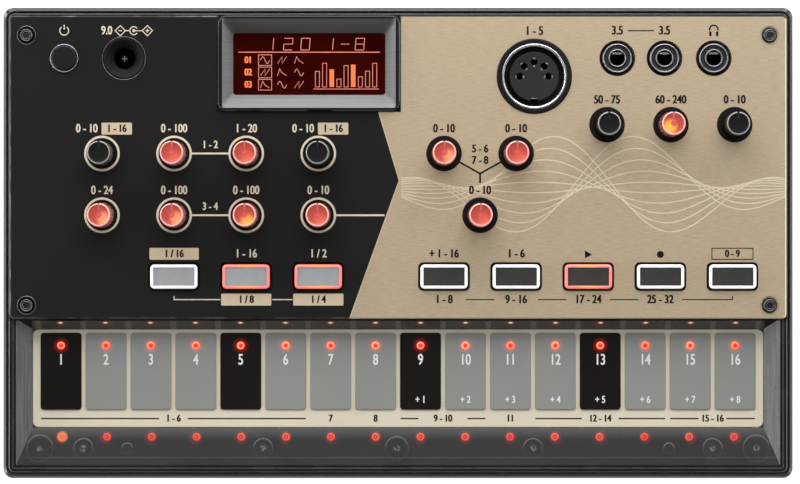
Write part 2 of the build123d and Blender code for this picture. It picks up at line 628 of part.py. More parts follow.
def knob():
    """Slim fluted knob with a bevelled top, a pointer notch and a round shaft."""
    shoulder = TOTAL_HEIGHT - KNOB_BEVEL
    body = frustum(fluted_face(KNOB_BASE_R, FLUTE_DEPTH, KNOB_BOTTOM),
                   fluted_face(KNOB_SHOULDER_R, FLUTE_DEPTH, shoulder))
    body += frustum(fluted_face(KNOB_SHOULDER_R, FLUTE_DEPTH, shoulder),
                    fluted_face(KNOB_TOP_R, 0, TOTAL_HEIGHT))
    width, length, depth = POINTER
    body -= block(-width / 2, width / 2, KNOB_SHOULDER_R - length, KNOB_BASE_R, TOTAL_HEIGHT - depth, TOTAL_HEIGHT)
    return body + disc(0, 0, SHAFT_R, DECK_BOTTOM - SHAFT_REACH + KNOB_BASE_GAP, KNOB_BOTTOM)


def potentiometer(x, y):
    """Board-mounted potentiometer with a bushing that guides the knob's shaft."""
    top = DECK_BOTTOM - POT_BELOW_DECK
    body = brick(x, y, POT[0], POT[1], BOARD_TOP, top)
    body += disc(x, y, BUSHING_R, top, DECK_TOP)
    return body - disc(x, y, SHAFT_R + SHAFT_CLEARANCE, DECK_BOTTOM - SHAFT_REACH, DECK_TOP)


# ---------------------------------------------------------------- keys and the power button
def key_cap():
    """Clear key with a shallow face, a retaining flange and a stem over its switch."""
    flange_top = DECK_BOTTOM - KEY_FLANGE_GAP
    flange_low = flange_top - KEY_FLANGE_THICKNESS
    cap = slab(0, 0, KEY[0], KEY[1], flange_top, KEY_TOP, KEY_R)
    cap = chamfer(cap.edges().group_by(Axis.Z)[-1], KEY_CHAMFER)
    cap -= slab(0, 0, KEY_FACE[0], KEY_FACE[1], KEY_TOP - KEY_FACE_DEPTH, KEY_TOP, KEY_FACE_R)
    cap += brick(0, 0, KEY_HOLE[0] + 2 * KEY_FLANGE, KEY_HOLE[1] + 2 * KEY_FLANGE, flange_low, flange_top)
    stem_low = BOARD_TOP + SWITCH_HEIGHT + SWITCH_PLUNGER + KEY_TRAVEL + KEY_STOP_GAP
    return cap + brick(0, 0, KEY_STEM, KEY_STEM, stem_low, flange_low)


def key_switch(x, y):
    switch = brick(x, y, SWITCH_BODY, SWITCH_BODY, BOARD_TOP, BOARD_TOP + SWITCH_HEIGHT)
    return switch + disc(x, y, SWITCH_PLUNGER_R, BOARD_TOP + SWITCH_HEIGHT,
                         BOARD_TOP + SWITCH_HEIGHT + SWITCH_PLUNGER)


def power_button():
    """Round cap on a stem, with a flange that keeps it in the case."""
    top = PANEL_TOP + POWER_RISE
    cap = disc(POWER_X, SOCKET_ROW, POWER_R, DECK_BOTTOM - KEY_FLANGE_GAP, top)
    cap = chamfer(cap.edges().group_by(Axis.Z)[-1], POWER_CHAMFER)
    cap += disc(POWER_X, SOCKET_ROW, POWER_R + KEY_FLANGE, DECK_BOTTOM - KEY_FLANGE_GAP - KEY_FLANGE_THICKNESS,
                DECK_BOTTOM - KEY_FLANGE_GAP)
    return cap + disc(POWER_X, SOCKET_ROW, POWER_STEM_R, BOARD_TOP + SWITCH_HEIGHT,
                      DECK_BOTTOM - KEY_FLANGE_GAP - KEY_FLANGE_THICKNESS)


def power_switch():
    top = BOARD_TOP + SWITCH_HEIGHT - POWER_TRAVEL - KEY_STOP_GAP
    return brick(POWER_X, SOCKET_ROW, POWER_SWITCH[0], POWER_SWITCH[1], JACK_BOARD_TOP, top)


# ---------------------------------------------------------------- sockets
def power_inlet():
    """Barrel socket with a conical mouth."""
    body = brick(INLET_X, SOCKET_ROW, INLET_BODY[0], INLET_BODY[1], JACK_BOARD_TOP, DECK_BOTTOM - SOCKET_GAP)
    body += disc(INLET_X, SOCKET_ROW, INLET_R, DECK_BOTTOM - SOCKET_GAP, PANEL_TOP)
    throat = PANEL_TOP - INLET_FUNNEL
    body -= cone(INLET_X, SOCKET_ROW, INLET_BORE_R, INLET_R - INLET_RIM, throat, PANEL_TOP)
    return body - disc(INLET_X, SOCKET_ROW, INLET_BORE_R, throat - INLET_BORE, throat)


def inlet_pin():
    low = PANEL_TOP - INLET_FUNNEL - INLET_BORE
    return disc(INLET_X, SOCKET_ROW, INLET_PIN_R, low, PANEL_TOP - INLET_FUNNEL)


def round_socket():
    """Housing of the five-pole round socket."""
    top = PANEL_TOP + ROUND_RISE
    body = brick(ROUND_X, ROUND_Y, ROUND_BODY, ROUND_BODY, JACK_BOARD_TOP, DECK_BOTTOM - SOCKET_GAP)
    body += disc(ROUND_X, ROUND_Y, ROUND_R, DECK_BOTTOM - SOCKET_GAP, top)
    return body - disc(ROUND_X, ROUND_Y, SHIELD_R + SHIELD_FIT, PANEL_TOP - SHIELD_DEPTH, top)


def round_shield():
    low = PANEL_TOP - SHIELD_DEPTH
    ring = disc(ROUND_X, ROUND_Y, SHIELD_R, low, PANEL_TOP)
    return ring - disc(ROUND_X, ROUND_Y, SHIELD_R - SHIELD_WALL, low, PANEL_TOP)


def at_pole(turn, out, shape):
    """Set a shape beside a pole of the round socket, a little further out, facing outwards."""
    return Pos(ROUND_X, ROUND_Y, 0) * Rot(0, 0, turn) * Pos(CONTACT_CIRCLE_R + out, 0, 0) * shape


def round_insert():
    """Core with five slotted pole holes on a half circle and a key notch."""
    top = PANEL_TOP - INSERT_RECESS
    core = disc(ROUND_X, ROUND_Y, INSERT_R, PANEL_TOP - SHIELD_DEPTH, top)
    hole = disc(0, 0, CONTACT_HOLE_R, top - CONTACT_HOLE, top)
    slot = extrude(Pos(0, 0, top - CONTACT_SLOT_DEPTH) * SlotOverall(*CONTACT_SLOT), CONTACT_SLOT_DEPTH)
    core -= [at_pole(turn, 0, hole + slot) for turn in CONTACT_TURNS]
    return core - brick(ROUND_X, ROUND_Y - INSERT_R, 2 * CONTACT_HOLE_R, INSERT_RECESS * 2,
                        PANEL_TOP - SHIELD_DEPTH, top)


def round_contacts():
    """Two spring leaves at each pole, one at either end of its slot."""
    low = PANEL_TOP - INSERT_RECESS - CONTACT_SLOT_DEPTH
    leaf = brick(0, 0, CONTACT_LEAF[0], CONTACT_LEAF[1], low, low + CONTACT_LEAF_HEIGHT)
    reach = CONTACT_SLOT[0] / 2 - CONTACT_LEAF[0]
    return [at_pole(turn, side * reach, leaf) for turn in CONTACT_TURNS for side in (-1, 1)]


def jack_body(x):
    top = DECK_BOTTOM - SOCKET_GAP
    body = brick(x, SOCKET_ROW, JACK_BODY[0], JACK_BODY[1], JACK_BOARD_TOP, top)
    return body - disc(x, SOCKET_ROW, JACK_BORE_R, PANEL_TOP + JACK_RISE - JACK_BORE, top)


def jack_ferrule(x):
    """Sleeve around the bore, with a face that is sunk between its rim and an inner lip."""
    top = PANEL_TOP + JACK_RISE
    ring = disc(x, SOCKET_ROW, FERRULE_R, DECK_BOTTOM - SOCKET_GAP, top)
    ring = chamfer(ring.edges().group_by(Axis.Z)[-1], FERRULE_CHAMFER)
    sunk = disc(x, SOCKET_ROW, FERRULE_R - FERRULE_RIM, top - FERRULE_RECESS, top)
    sunk -= disc(x, SOCKET_ROW, JACK_BORE_R + FERRULE_LIP, top - FERRULE_RECESS, top)
    return ring - sunk - disc(x, SOCKET_ROW, JACK_BORE_R, DECK_BOTTOM - SOCKET_GAP, top)


# ---------------------------------------------------------------- boards
def main_board():
    """Board under the deck, cut away for the tall sockets and the screw bosses."""
    length = CASE_LENGTH - 2 * (WALL + BOARD_MARGIN)
    width = CASE_WIDTH - 2 * (WALL + BOARD_MARGIN)
    board = brick(0, 0, length, width, BOARD_BOTTOM, BOARD_TOP)
    board -= brick(ROUND_X, ROUND_Y, ROUND_BODY + 2 * BOARD_GAP, ROUND_BODY + 2 * BOARD_GAP, BOARD_BOTTOM, BOARD_TOP)
    first = JACK_X[0] - JACK_BODY[0] / 2 - BOARD_GAP
    last = JACK_X[-1] + JACK_BODY[0] / 2 + BOARD_GAP
    reach = JACK_BODY[1] / 2 + BOARD_GAP
    board -= block(first, last, SOCKET_ROW - reach, SOCKET_ROW + reach, BOARD_BOTTOM, BOARD_TOP)
    board -= brick(INLET_X, SOCKET_ROW, INLET_BODY[0] + 2 * BOARD_GAP, INLET_BODY[1] + 2 * BOARD_GAP,
                   BOARD_BOTTOM, BOARD_TOP)
    board -= brick(POWER_X, SOCKET_ROW, POWER_SWITCH[0] + 2 * BOARD_GAP, POWER_SWITCH[1] + 2 * BOARD_GAP,
                   BOARD_BOTTOM, BOARD_TOP)
    board -= [disc(x, y, CASE_BOSS_R + BOARD_GAP, BOARD_BOTTOM, BOARD_TOP) for x, y in CASE_SCREWS]
    return board - [disc(x, y, BOARD_SCREW_R, BOARD_BOTTOM, BOARD_TOP) for x, y in MAIN_BOSSES]


def jack_board():
    board = block(-JACK_BOARD_HALF, JACK_BOARD_HALF, JACK_BOARD_FRONT, JACK_BOARD_REAR,
                  JACK_BOARD_TOP - BOARD, JACK_BOARD_TOP)
    board -= [disc(x, y, CASE_POST_R + BOARD_GAP, JACK_BOARD_TOP - BOARD, JACK_BOARD_TOP) for x, y in CASE_SCREWS]
    return board - [disc(x, y, BOARD_SCREW_R, JACK_BOARD_TOP - BOARD, JACK_BOARD_TOP) for x, y in JACK_POSTS]


def hex_head(x, y, low):
    return extrude(Pos(x, y, low) * RegularPolygon(BOARD_SCREW_HEAD_R, 6), BOARD_SCREW_HEAD)


def board_screws():
    """Hexagon screws up into the main board's bosses, and down into the jack board's posts."""
    screws = []
    for x, y in MAIN_BOSSES:
        head = hex_head(x, y, BOARD_BOTTOM - BOARD_SCREW_HEAD)
        screws.append(head + disc(x, y, BOARD_SCREW_R, BOARD_BOTTOM, BOARD_TOP + BOARD))
    for x, y in JACK_POSTS:
        head = hex_head(x, y, JACK_BOARD_TOP)
        screws.append(head + disc(x, y, BOARD_SCREW_R, JACK_BOARD_TOP - 2 * BOARD, JACK_BOARD_TOP))
    return screws


def case_screw(x, y):
    """Screw from below that pulls the two cases together."""
    head = disc(x, y, CASE_HEAD_R, CASE_SCREW_SEAT - CASE_HEAD, CASE_SCREW_SEAT)
    return head + disc(x, y, CASE_SCREW_R, CASE_SCREW_SEAT, CASE_SCREW_TIP)


# ---------------------------------------------------------------- batteries
def cell_rows():
    return [BAY_Y + (i - (CELL_ROWS - 1) / 2) * CELL_PITCH for i in range(CELL_ROWS)]


def cells():
    """Six round cells in three rows, turned end for end from row to row."""
    found = []
    for i, y in enumerate(cell_rows()):
        way = 1 if i % 2 == 0 else -1
        for side in (-1, 1):
            barrel = Cylinder(CELL_R, CELL_LENGTH - CELL_NUB, rotation=(0, 90, 0))
            nub = Cylinder(CELL_NUB_R, CELL_NUB, rotation=(0, 90, 0))
            middle = BAY_X + side * CELL_LENGTH / 2
            cell = Pos(middle - way * CELL_NUB / 2, y, CELL_Z) * barrel
            cell += Pos(middle + way * (CELL_LENGTH - CELL_NUB) / 2, y, CELL_Z) * nub
            found.append(cell)
    return found


def battery_contacts():
    """A plate with a short pressing cone at both ends of each row."""
    found = []
    reach = BAY_END_ROOM - CONTACT_PLATE - CELL_CONTACT_GAP
    for y in cell_rows():
        for side in (-1, 1):
            wall = BAY_X + side * BAY_LENGTH / 2
            plate = Pos(wall - side * CONTACT_PLATE / 2, y, CELL_Z) * Box(CONTACT_PLATE, CONTACT_PLATE_SIZE,
                                                                         CONTACT_PLATE_SIZE)
            tip = Cone(SPRING_R, SPRING_TIP_R, reach, rotation=(0, -90 * side, 0))
            found.append(plate + Pos(wall - side * (CONTACT_PLATE + reach / 2), y, CELL_Z) * tip)
    return found


# ---------------------------------------------------------------- speaker
def speaker_frame():
    """Pressed basket with a flat flange on the floor of the case."""
    top = FLOOR_TOP + SPEAKER_DEPTH
    flange_top = FLOOR_TOP + SPEAKER_FLANGE
    basket = disc(SPEAKER_X, SPEAKER_Y, SPEAKER_R, FLOOR_TOP, flange_top)
    basket += cone(SPEAKER_X, SPEAKER_Y, CONE_R + SPEAKER_WALL, MAGNET_R, flange_top, top)
    basket -= disc(SPEAKER_X, SPEAKER_Y, CONE_R, FLOOR_TOP, flange_top)
    basket -= cone(SPEAKER_X, SPEAKER_Y, CONE_R, MAGNET_R - SPEAKER_WALL, flange_top, top - SPEAKER_WALL)
    return basket


def speaker_cone():
    low = FLOOR_TOP + SPEAKER_FLANGE
    rim = CONE_R - SOCKET_GAP
    paper = cone(SPEAKER_X, SPEAKER_Y, rim, CONE_TIP_R, low, low + CONE_DEPTH)
    return paper - cone(SPEAKER_X, SPEAKER_Y, rim - CONE_WALL, CONE_TIP_R - CONE_WALL,
                        low, low + CONE_DEPTH - CONE_WALL)


def speaker_magnet():
    low = FLOOR_TOP + SPEAKER_DEPTH
    return disc(SPEAKER_X, SPEAKER_Y, MAGNET_R, low, low + MAGNET)


# ---------------------------------------------------------------- write every node
save("lower_case", lower_case())
save("upper_case", upper_case())
save("front_panel", front_panel())
save("display_bezel", display_bezel())
save("display_glass", display_glass())
save("display_module", display_module())
save("touch_board", touch_board())
save("dark_pads", *touch_pads(True))
save("grey_pads", *touch_pads(False))
save("pad_lights", *pad_lights())
save("step_lights", *step_lights())
save("potentiometers", *[potentiometer(x, y) for x, y in KNOBS.values()])
save("key_switches", *[key_switch(x, KEY_ROW) for x in KEYS.values()])
save("power_button", power_button())
save("power_switch", power_switch())
save("power_inlet", power_inlet())
save("inlet_pin", inlet_pin())
save("round_socket", round_socket())
save("round_shield", round_shield())
save("round_insert", round_insert())
save("round_contacts", *round_contacts())
save("jack_bodies", *[jack_body(x) for x in JACK_X])
save("jack_ferrules", *[jack_ferrule(x) for x in JACK_X])
save("main_board", main_board())
save("jack_board", jack_board())
save("panel_screws", *[panel_screw(x, y) for x, y in PANEL_SCREWS])
save("board_screws", *board_screws())
save("case_screws", *[case_screw(x, y) for x, y in CASE_SCREWS])
save("battery_cover", battery_cover())
save("cells", *cells())
save("battery_contacts", *battery_contacts())
save("speaker_frame", speaker_frame())
save("speaker_cone", speaker_cone())
save("speaker_magnet", speaker_magnet())
save("rubber_feet", *rubber_feet())

one_knob = knob()
for name, (x, y) in KNOBS.items():
    save(name, Pos(x, y, 0) * one_knob)
one_key = key_cap()
for name, x in KEYS.items():
    save(name, Pos(x, KEY_ROW, 0) * one_key)
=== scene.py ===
# %% [markdown]
# # A compact drum machine, dressed in Blender
#
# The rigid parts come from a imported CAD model, which stays exactly where it is.
# This lesson gives those parts their finishes, swaps a few of them for finer
# meshes of the same size, and adds the print, the lights and the display.

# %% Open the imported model
import bmesh
import bpy
import json
from math import cos, hypot, pi, radians, sin
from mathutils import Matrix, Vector


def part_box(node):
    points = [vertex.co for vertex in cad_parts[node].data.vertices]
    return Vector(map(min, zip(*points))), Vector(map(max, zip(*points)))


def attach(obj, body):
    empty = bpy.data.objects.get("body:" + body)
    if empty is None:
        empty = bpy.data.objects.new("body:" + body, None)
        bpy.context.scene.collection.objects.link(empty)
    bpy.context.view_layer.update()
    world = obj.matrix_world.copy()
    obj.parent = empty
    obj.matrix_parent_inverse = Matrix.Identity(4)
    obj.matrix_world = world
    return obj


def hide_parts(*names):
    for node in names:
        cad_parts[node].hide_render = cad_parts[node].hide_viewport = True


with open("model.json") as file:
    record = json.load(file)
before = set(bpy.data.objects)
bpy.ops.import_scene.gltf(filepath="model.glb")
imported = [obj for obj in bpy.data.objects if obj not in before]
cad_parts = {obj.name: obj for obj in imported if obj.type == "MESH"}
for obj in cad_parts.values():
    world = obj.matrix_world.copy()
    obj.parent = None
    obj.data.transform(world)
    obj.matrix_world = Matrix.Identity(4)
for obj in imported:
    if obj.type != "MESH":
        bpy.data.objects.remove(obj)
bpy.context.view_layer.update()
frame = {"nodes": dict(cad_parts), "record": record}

nodes = frame["nodes"]
MM = 0.001

# %% [markdown]
# Many places below are worked out from the boxes of the CAD nodes, so those
# looks follow the model if a size changes. `middle` and `top` are the two
# questions that come up most: where is this node, seen from above, and how high
# is it?


# %% Ask the model where things are
def middle(node):
    """The x and y of a node's middle, in metres."""
    low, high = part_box(node)
    return (low.x + high.x) / 2, (low.y + high.y) / 2


def top(node):
    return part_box(node)[1].z


PANEL_Z = top("front_panel")
dark_knobs = ["level_knob", "select_knob", "swing_knob", "volume_knob"]
lit_knobs = [name for name in nodes if name.endswith("_knob") and name not in dark_knobs]
keys = [name for name in nodes if name.endswith("_key")]
print("knobs:", len(dark_knobs + lit_knobs), "keys:", len(keys), "panel height:", round(PANEL_Z, 4))

# %% [markdown]
# ## The camera
#
# A product shot from straight above is taken from far away with a long lens,
# so the knobs lean outwards only a little towards the edges of the picture.
# The camera stands 830 mm over the panel, and the focal length follows from
# the width that the picture takes in at the height of the panel.

# %% Camera
CAMERA_RISE = 830 * MM
PICTURE_WIDTH = 194.85 * MM
SENSOR = 36.0
camera_data = bpy.data.cameras.new("camera")
camera_data.sensor_width = SENSOR
camera_data.lens = SENSOR * CAMERA_RISE / PICTURE_WIDTH
camera_data.clip_start = 0.01
camera = bpy.data.objects.new("camera", camera_data)
camera.location = (0.48 * MM, 0.23 * MM, PANEL_Z + CAMERA_RISE)
bpy.context.scene.collection.objects.link(camera)
bpy.context.scene.camera = camera
bpy.context.scene.view_settings.view_transform = "Standard"
print("lens:", round(camera_data.lens, 1), "mm")

# %% [markdown]
# ## A few small tools for node trees
#
# Materials are easier to read when a node takes one word. `Wiring` holds a node
# tree and has a word for each kind of node that the finishes use. `Sockets`
# fills a socket by its name: a plain value is typed in, a socket is linked.
# `paint` turns the usual 0 to 255 screen colour into Blender's linear one.


# %% Node helpers
def paint(red, green, blue):
    """A linear colour from a screen colour of 0 to 255 per channel."""
    shares = [value / 255 for value in (red, green, blue)]
    return (*[s / 12.92 if s <= 0.04045 else ((s + 0.055) / 1.055) ** 2.4 for s in shares], 1.0)


class Sockets:
    """The sockets of one node, filled by name."""

    def __init__(self, tree, sockets):
        self.tree = tree
        self.sockets = sockets

    def __setitem__(self, key, value):
        if isinstance(value, bpy.types.NodeSocket):
            self.tree.links.new(value, self.sockets[key])
        else:
            self.sockets[key].default_value = value


class Wiring:
    """A node tree, with a short word for each kind of node."""

    def __init__(self, tree):
        self.tree = tree

    def node(self, kind, inputs=None, **settings):
        """Adds a node, fills its inputs and returns its outputs."""
        new = self.tree.nodes.new("ShaderNode" + kind)
        for key, value in settings.items():
            setattr(new, key, value)
        sockets = Sockets(self.tree, new.inputs)
        for key, value in (inputs or {}).items():
            sockets[key] = value
        return new.outputs

    def use(self, group, **values):
        """Places a shared effect and returns its outputs."""
        return self.node("Group", values, node_tree=group.tree)

    def maths(self, operation, first, second=0.0, clamp=False):
        return self.node("Math", {0: first, 1: second}, operation=operation, use_clamp=clamp)[0]

    def times(self, first, second):
        return self.maths("MULTIPLY", first, second)

    def plus(self, first, second):
        return self.maths("ADD", first, second)

    def minus(self, first, second):
        return self.maths("SUBTRACT", first, second)

    def over(self, first, second):
        return self.maths("DIVIDE", first, second)

    def size(self, value):
        return self.maths("ABSOLUTE", value)

    def fade(self, value, start, end, low=0.0, high=1.0):
        """Goes softly from low to high while the value goes from start to end."""
        return self.node("MapRange", {0: value, 1: start, 2: end, 3: low, 4: high},
                         interpolation_type="SMOOTHSTEP")[0]

    def mix(self, share, first, second, blend="MIX"):
        """The mix of two colours. Three plain numbers are a screen colour."""
        first, second = [paint(*c) if isinstance(c, tuple) else c for c in (first, second)]
        return self.node("Mix", {0: share, 6: first, 7: second}, data_type="RGBA", blend_type=blend)[2]

    def tones(self, mask, start, end, first, second):
        """The first colour where the mask is at start, the second where it is at end."""
        return self.mix(self.fade(mask, start, end), first, second)

    def flat(self, x, y):
        return self.node("CombineXYZ", {0: x, 1: y})[0]

    def reach(self, x, y):
        """The length of a flat offset."""
        return self.node("VectorMath", {0: self.flat(x, y)}, operation="LENGTH")["Value"]

    def noise(self, scale, detail=2.0, roughness=0.5, vector=None):
        vector = vector or self.node("TexCoord")["Object"]
        return self.node("TexNoise", {"Vector": vector, "Scale": scale, "Detail": detail,
                                      "Roughness": roughness})[0]

    def split(self, vector):
        parts = self.node("SeparateXYZ", {0: vector})
        return parts[0], parts[1], parts[2]

    def place(self):
        """The x, y and z of a point on the object, in metres."""
        return self.split(self.node("TexCoord")["Object"])

    def facing(self):
        """The x, y and z of the surface normal."""
        return self.split(self.node("NewGeometry")["Normal"])

    def bump(self, height, distance, normal=None):
        inputs = {"Height": height, "Distance": distance}
        if normal:
            inputs["Normal"] = normal
        return self.node("Bump", inputs)[0]


finishes = {}


def material(name):
    """Keeps a new finish with one Principled shader. Returns its wiring and the shader's sockets."""
    finishes[name] = bpy.data.materials.new(name)
    finishes[name].use_nodes = True
    tree = finishes[name].node_tree
    tree.nodes.clear()
    shader = tree.nodes.new("ShaderNodeBsdfPrincipled")
    output = tree.nodes.new("ShaderNodeOutputMaterial")
    tree.links.new(shader.outputs[0], output.inputs[0])
    return Wiring(tree), Sockets(tree, shader.inputs)


print("screen grey of 128 is", round(paint(128, 128, 128)[0], 3), "in linear light")

# %% [markdown]
# ## Effects that several finishes share
#
# A shader node group is built once and then placed in each material with its
# own values, as a maker would use one grain for all the mouldings. The first
# group is the fine grain of moulded plastic: small bumps, and wider patches
# where the sheen changes a little. The second is the brushed grain of sheet
# metal, stretched along X. The third finds the edges: it puts out a mask for
# their paler tone, which is partly wear and partly a painted highlight, and a
# rounded normal that makes a sharp edge catch light.


# %% Shared effects
def effect(name, inputs, masks, normals=()):
    """An empty shader node group: its wiring, its inputs and its outputs by name."""
    tree = bpy.data.node_groups.new(name, "ShaderNodeTree")
    for label, usual in inputs.items():
        socket = tree.interface.new_socket(label, in_out="INPUT", socket_type="NodeSocketFloat")
        socket.default_value = usual
    for label in masks:
        tree.interface.new_socket(label, in_out="OUTPUT", socket_type="NodeSocketFloat")
    for label in normals:
        tree.interface.new_socket(label, in_out="OUTPUT", socket_type="NodeSocketVector")
    given = tree.nodes.new("NodeGroupInput").outputs
    return Wiring(tree), given, Sockets(tree, tree.nodes.new("NodeGroupOutput").inputs)


moulded_grain, given, out = effect("moulded_grain", {"Fineness": 4000.0, "Patches": 60.0},
                                   ["Height", "Sheen"])
out["Height"] = moulded_grain.noise(given["Fineness"], detail=3.0)
out["Sheen"] = moulded_grain.noise(given["Patches"], detail=4.0)

brushed_grain, given, out = effect("brushed_grain", {"Lines": 5200.0, "Run": 420.0}, ["Streak"])
x, y, z = brushed_grain.place()
stretched = brushed_grain.flat(brushed_grain.times(x, given["Run"]), brushed_grain.times(y, given["Lines"]))
out["Streak"] = brushed_grain.noise(1.0, detail=4.0, roughness=0.65, vector=stretched)

edge_wear, given, out = effect("edge_wear", {"Reach": 0.4 * MM}, ["Edge"], ["Round"])
rounded = edge_wear.node("Bevel", {"Radius": given["Reach"]}, samples=6)[0]
plain = edge_wear.node("NewGeometry")["Normal"]
bend = edge_wear.node("VectorMath", {0: rounded, 1: plain}, operation="DOT_PRODUCT")["Value"]
# The Edge mask lightens edges: partly wear, partly a painted highlight.
out["Edge"] = edge_wear.fade(bend, 0.99, 0.8)
out["Round"] = rounded
print("shared effects:", len(bpy.data.node_groups))

# %% [markdown]
# ## Moulded plastics
#
# Most of the case is the same black plastic with a fine grain, and only the
# sheen and the tone differ from piece to piece. `plastic` makes each of them
# from the shared grain and paints the edges paler, partly as wear and partly as
# a painted highlight. The rim of the case is glossy and its walls are matt, so
# one finish changes at a height.

# %% Plastic finishes
RIM_FOOT_Z = 24.8 * MM         # where the glossy rim of the case ends
WALL_GLOSS = 0.14
WALL_ROUGHER = 0.3


def plastic(name, colour, roughness, grain=0.02, edge=(120, 120, 122), edge_share=0.25, fineness=4000.0,
            gloss=0.5, mottle=0.25, reach=0.3, matt_below=None):
    """Moulded plastic. The grain's depth and the reach of the edges are in millimetres."""
    tree, shader = material(name)
    skin = tree.use(moulded_grain, Fineness=fineness, Patches=45.0)
    wear = tree.use(edge_wear, Reach=reach * MM)
    tone = tree.mix(tree.fade(skin["Sheen"], 0.3, 0.7, 0.0, mottle), colour, edge)
    # Paler edges: partly wear, partly a painted highlight.
    shader["Base Color"] = tree.mix(tree.times(wear["Edge"], edge_share), tone, edge)
    shader["Specular IOR Level"] = gloss
    sheen = tree.fade(skin["Sheen"], 0.25, 0.75, roughness - 0.06, roughness + 0.06)
    if matt_below:
        wall = tree.fade(tree.place()[2], matt_below, matt_below - 0.3 * MM)
        shader["Specular IOR Level"] = tree.fade(wall, 0.0, 1.0, gloss, WALL_GLOSS)
        sheen = tree.plus(sheen, tree.times(wall, WALL_ROUGHER))
    shader["Roughness"] = sheen
    shader["Normal"] = tree.bump(skin["Height"], grain * MM, wear["Round"])


# The case's rim gets a strong painted highlight along its edges.
plastic("case_black", (14, 12, 11), 0.22, edge=(84, 81, 78), edge_share=0.6, gloss=0.8, mottle=0.03,
        reach=0.5, matt_below=RIM_FOOT_Z)
plastic("display_housing", (150, 150, 150), 0.5)
plastic("dark_pad", (20, 18, 17), 0.42, grain=0.006, edge=(26, 24, 22), gloss=0.12)
plastic("grey_pad", (134, 136, 133), 0.4, grain=0.006, edge=(142, 143, 140), edge_share=0.1, gloss=0.3)
plastic("touch_print", (208, 200, 178), 0.45, grain=0.004, edge=(216, 209, 190))
plastic("control_body", (60, 60, 66), 0.5)
plastic("button_black", (14, 17, 17), 0.46, grain=0.006, edge=(34, 35, 36), gloss=0.2)
plastic("socket_black", (34, 34, 36), 0.5, grain=0.01, edge=(48, 48, 50), gloss=0.3)
plastic("socket_shell", (12, 12, 11), 0.3, grain=0.004, edge=(30, 29, 28), gloss=0.3)
plastic("funnel_black", (30, 28, 27), 0.7, grain=0.01, edge=(40, 39, 38), gloss=0.1)
plastic("sleeve_black", (27, 29, 35), 0.26, grain=0.004, edge=(44, 46, 52))
plastic("board_laminate", (26, 74, 48), 0.45, fineness=1500.0, edge=(90, 120, 84))
plastic("cell_wrap", (96, 98, 104), 0.3, grain=0.004)
plastic("cone_paper", (40, 40, 42), 0.8, grain=0.06, fineness=1800.0)
plastic("magnet", (52, 52, 56), 0.6, grain=0.05)
plastic("foot_rubber", (30, 30, 31), 0.85, grain=0.04, fineness=2500.0, edge=(60, 60, 60))
print("plastics:", len(finishes))

# %% [markdown]
# ## Plain metals
#
# Screws, contacts and sleeves are small, so their finish is a clean metal with
# faint streaks in its roughness. Black oxide on the case screws is the same
# recipe with a dark colour.


# %% Metal finishes
def metal(name, colour, roughness, edge_share=0.3):
    tree, shader = material(name)
    streak = tree.use(brushed_grain, Lines=3000.0, Run=300.0)["Streak"]
    edges = tree.use(edge_wear, Reach=0.2 * MM)["Edge"]
    shader["Base Color"] = tree.mix(tree.times(edges, edge_share), colour, (235, 235, 238))
    shader["Metallic"] = 1.0
    shader["Roughness"] = tree.fade(streak, 0.3, 0.7, roughness - 0.05, roughness + 0.08)


metal("plated_metal", (225, 226, 230), 0.14)
metal("contact_metal", (214, 196, 150), 0.22)
metal("black_screw", (64, 65, 66), 0.34)
metal("bright_pin", (30, 30, 31), 0.5, edge_share=0.0)
metal("zinc_screw", (190, 192, 196), 0.3)
metal("speaker_steel", (160, 162, 166), 0.36)
metal("satin_lip", (122, 122, 122), 0.3)
metal("soft_lip", (176, 177, 180), 0.3)
print("finishes so far:", len(finishes))

# %% [markdown]
# ## The two-tone panel
#
# The panel is one sheet of champagne-coloured aluminium, brushed from side to
# side, with a matt black field printed on its left part. The edge of the field
# is two straight lines that meet in an arrow head. Two half planes and a
# minimum give that shape, and a narrow band along it stays bare and bright. The
# bevelled outline is cut after printing. The z of the normal tells the bevel
# from the flat face: it is bare beside the metal, darker where it leans to the
# rear as painted shade, and rubbed through in patches beside the black.

# %% Panel material
ARROW_TIP = (0.17 * MM, 15.23 * MM)
REAR_SLANT = -0.301
FRONT_SLANT = 0.359
INK_EDGE = 0.04 * MM
EDGE_BAND = 0.4 * MM, 0.1 * MM  # where the bright band along the ink ends and starts to fade
tree, shader = material("panel_metal")
x, y, z = tree.place()
lean_x, lean_y, lean_z = tree.facing()
forward = tree.minus(y, ARROW_TIP[1])
border = tree.maths("MINIMUM", tree.times(forward, REAR_SLANT), tree.times(forward, FRONT_SLANT))
beyond = tree.minus(x, tree.plus(border, ARROW_TIP[0]))
field = tree.fade(beyond, INK_EDGE, -INK_EDGE)
streak = tree.use(brushed_grain)["Streak"]
gold = tree.tones(streak, 0.3, 0.7, (191, 172, 143), (207, 189, 161))
gold = tree.mix(tree.fade(beyond, *EDGE_BAND, 0.0, 0.6), gold, (226, 212, 182))
ink_grain = tree.use(moulded_grain, Fineness=3000.0, Patches=30.0)
ink = tree.tones(ink_grain["Sheen"], 0.3, 0.7, (20, 19, 19), (25, 24, 23))
rubbed = tree.use(moulded_grain, Patches=170.0)["Sheen"]
rubbed_ink = tree.tones(rubbed, 0.42, 0.62, (40, 38, 36), (96, 93, 89))
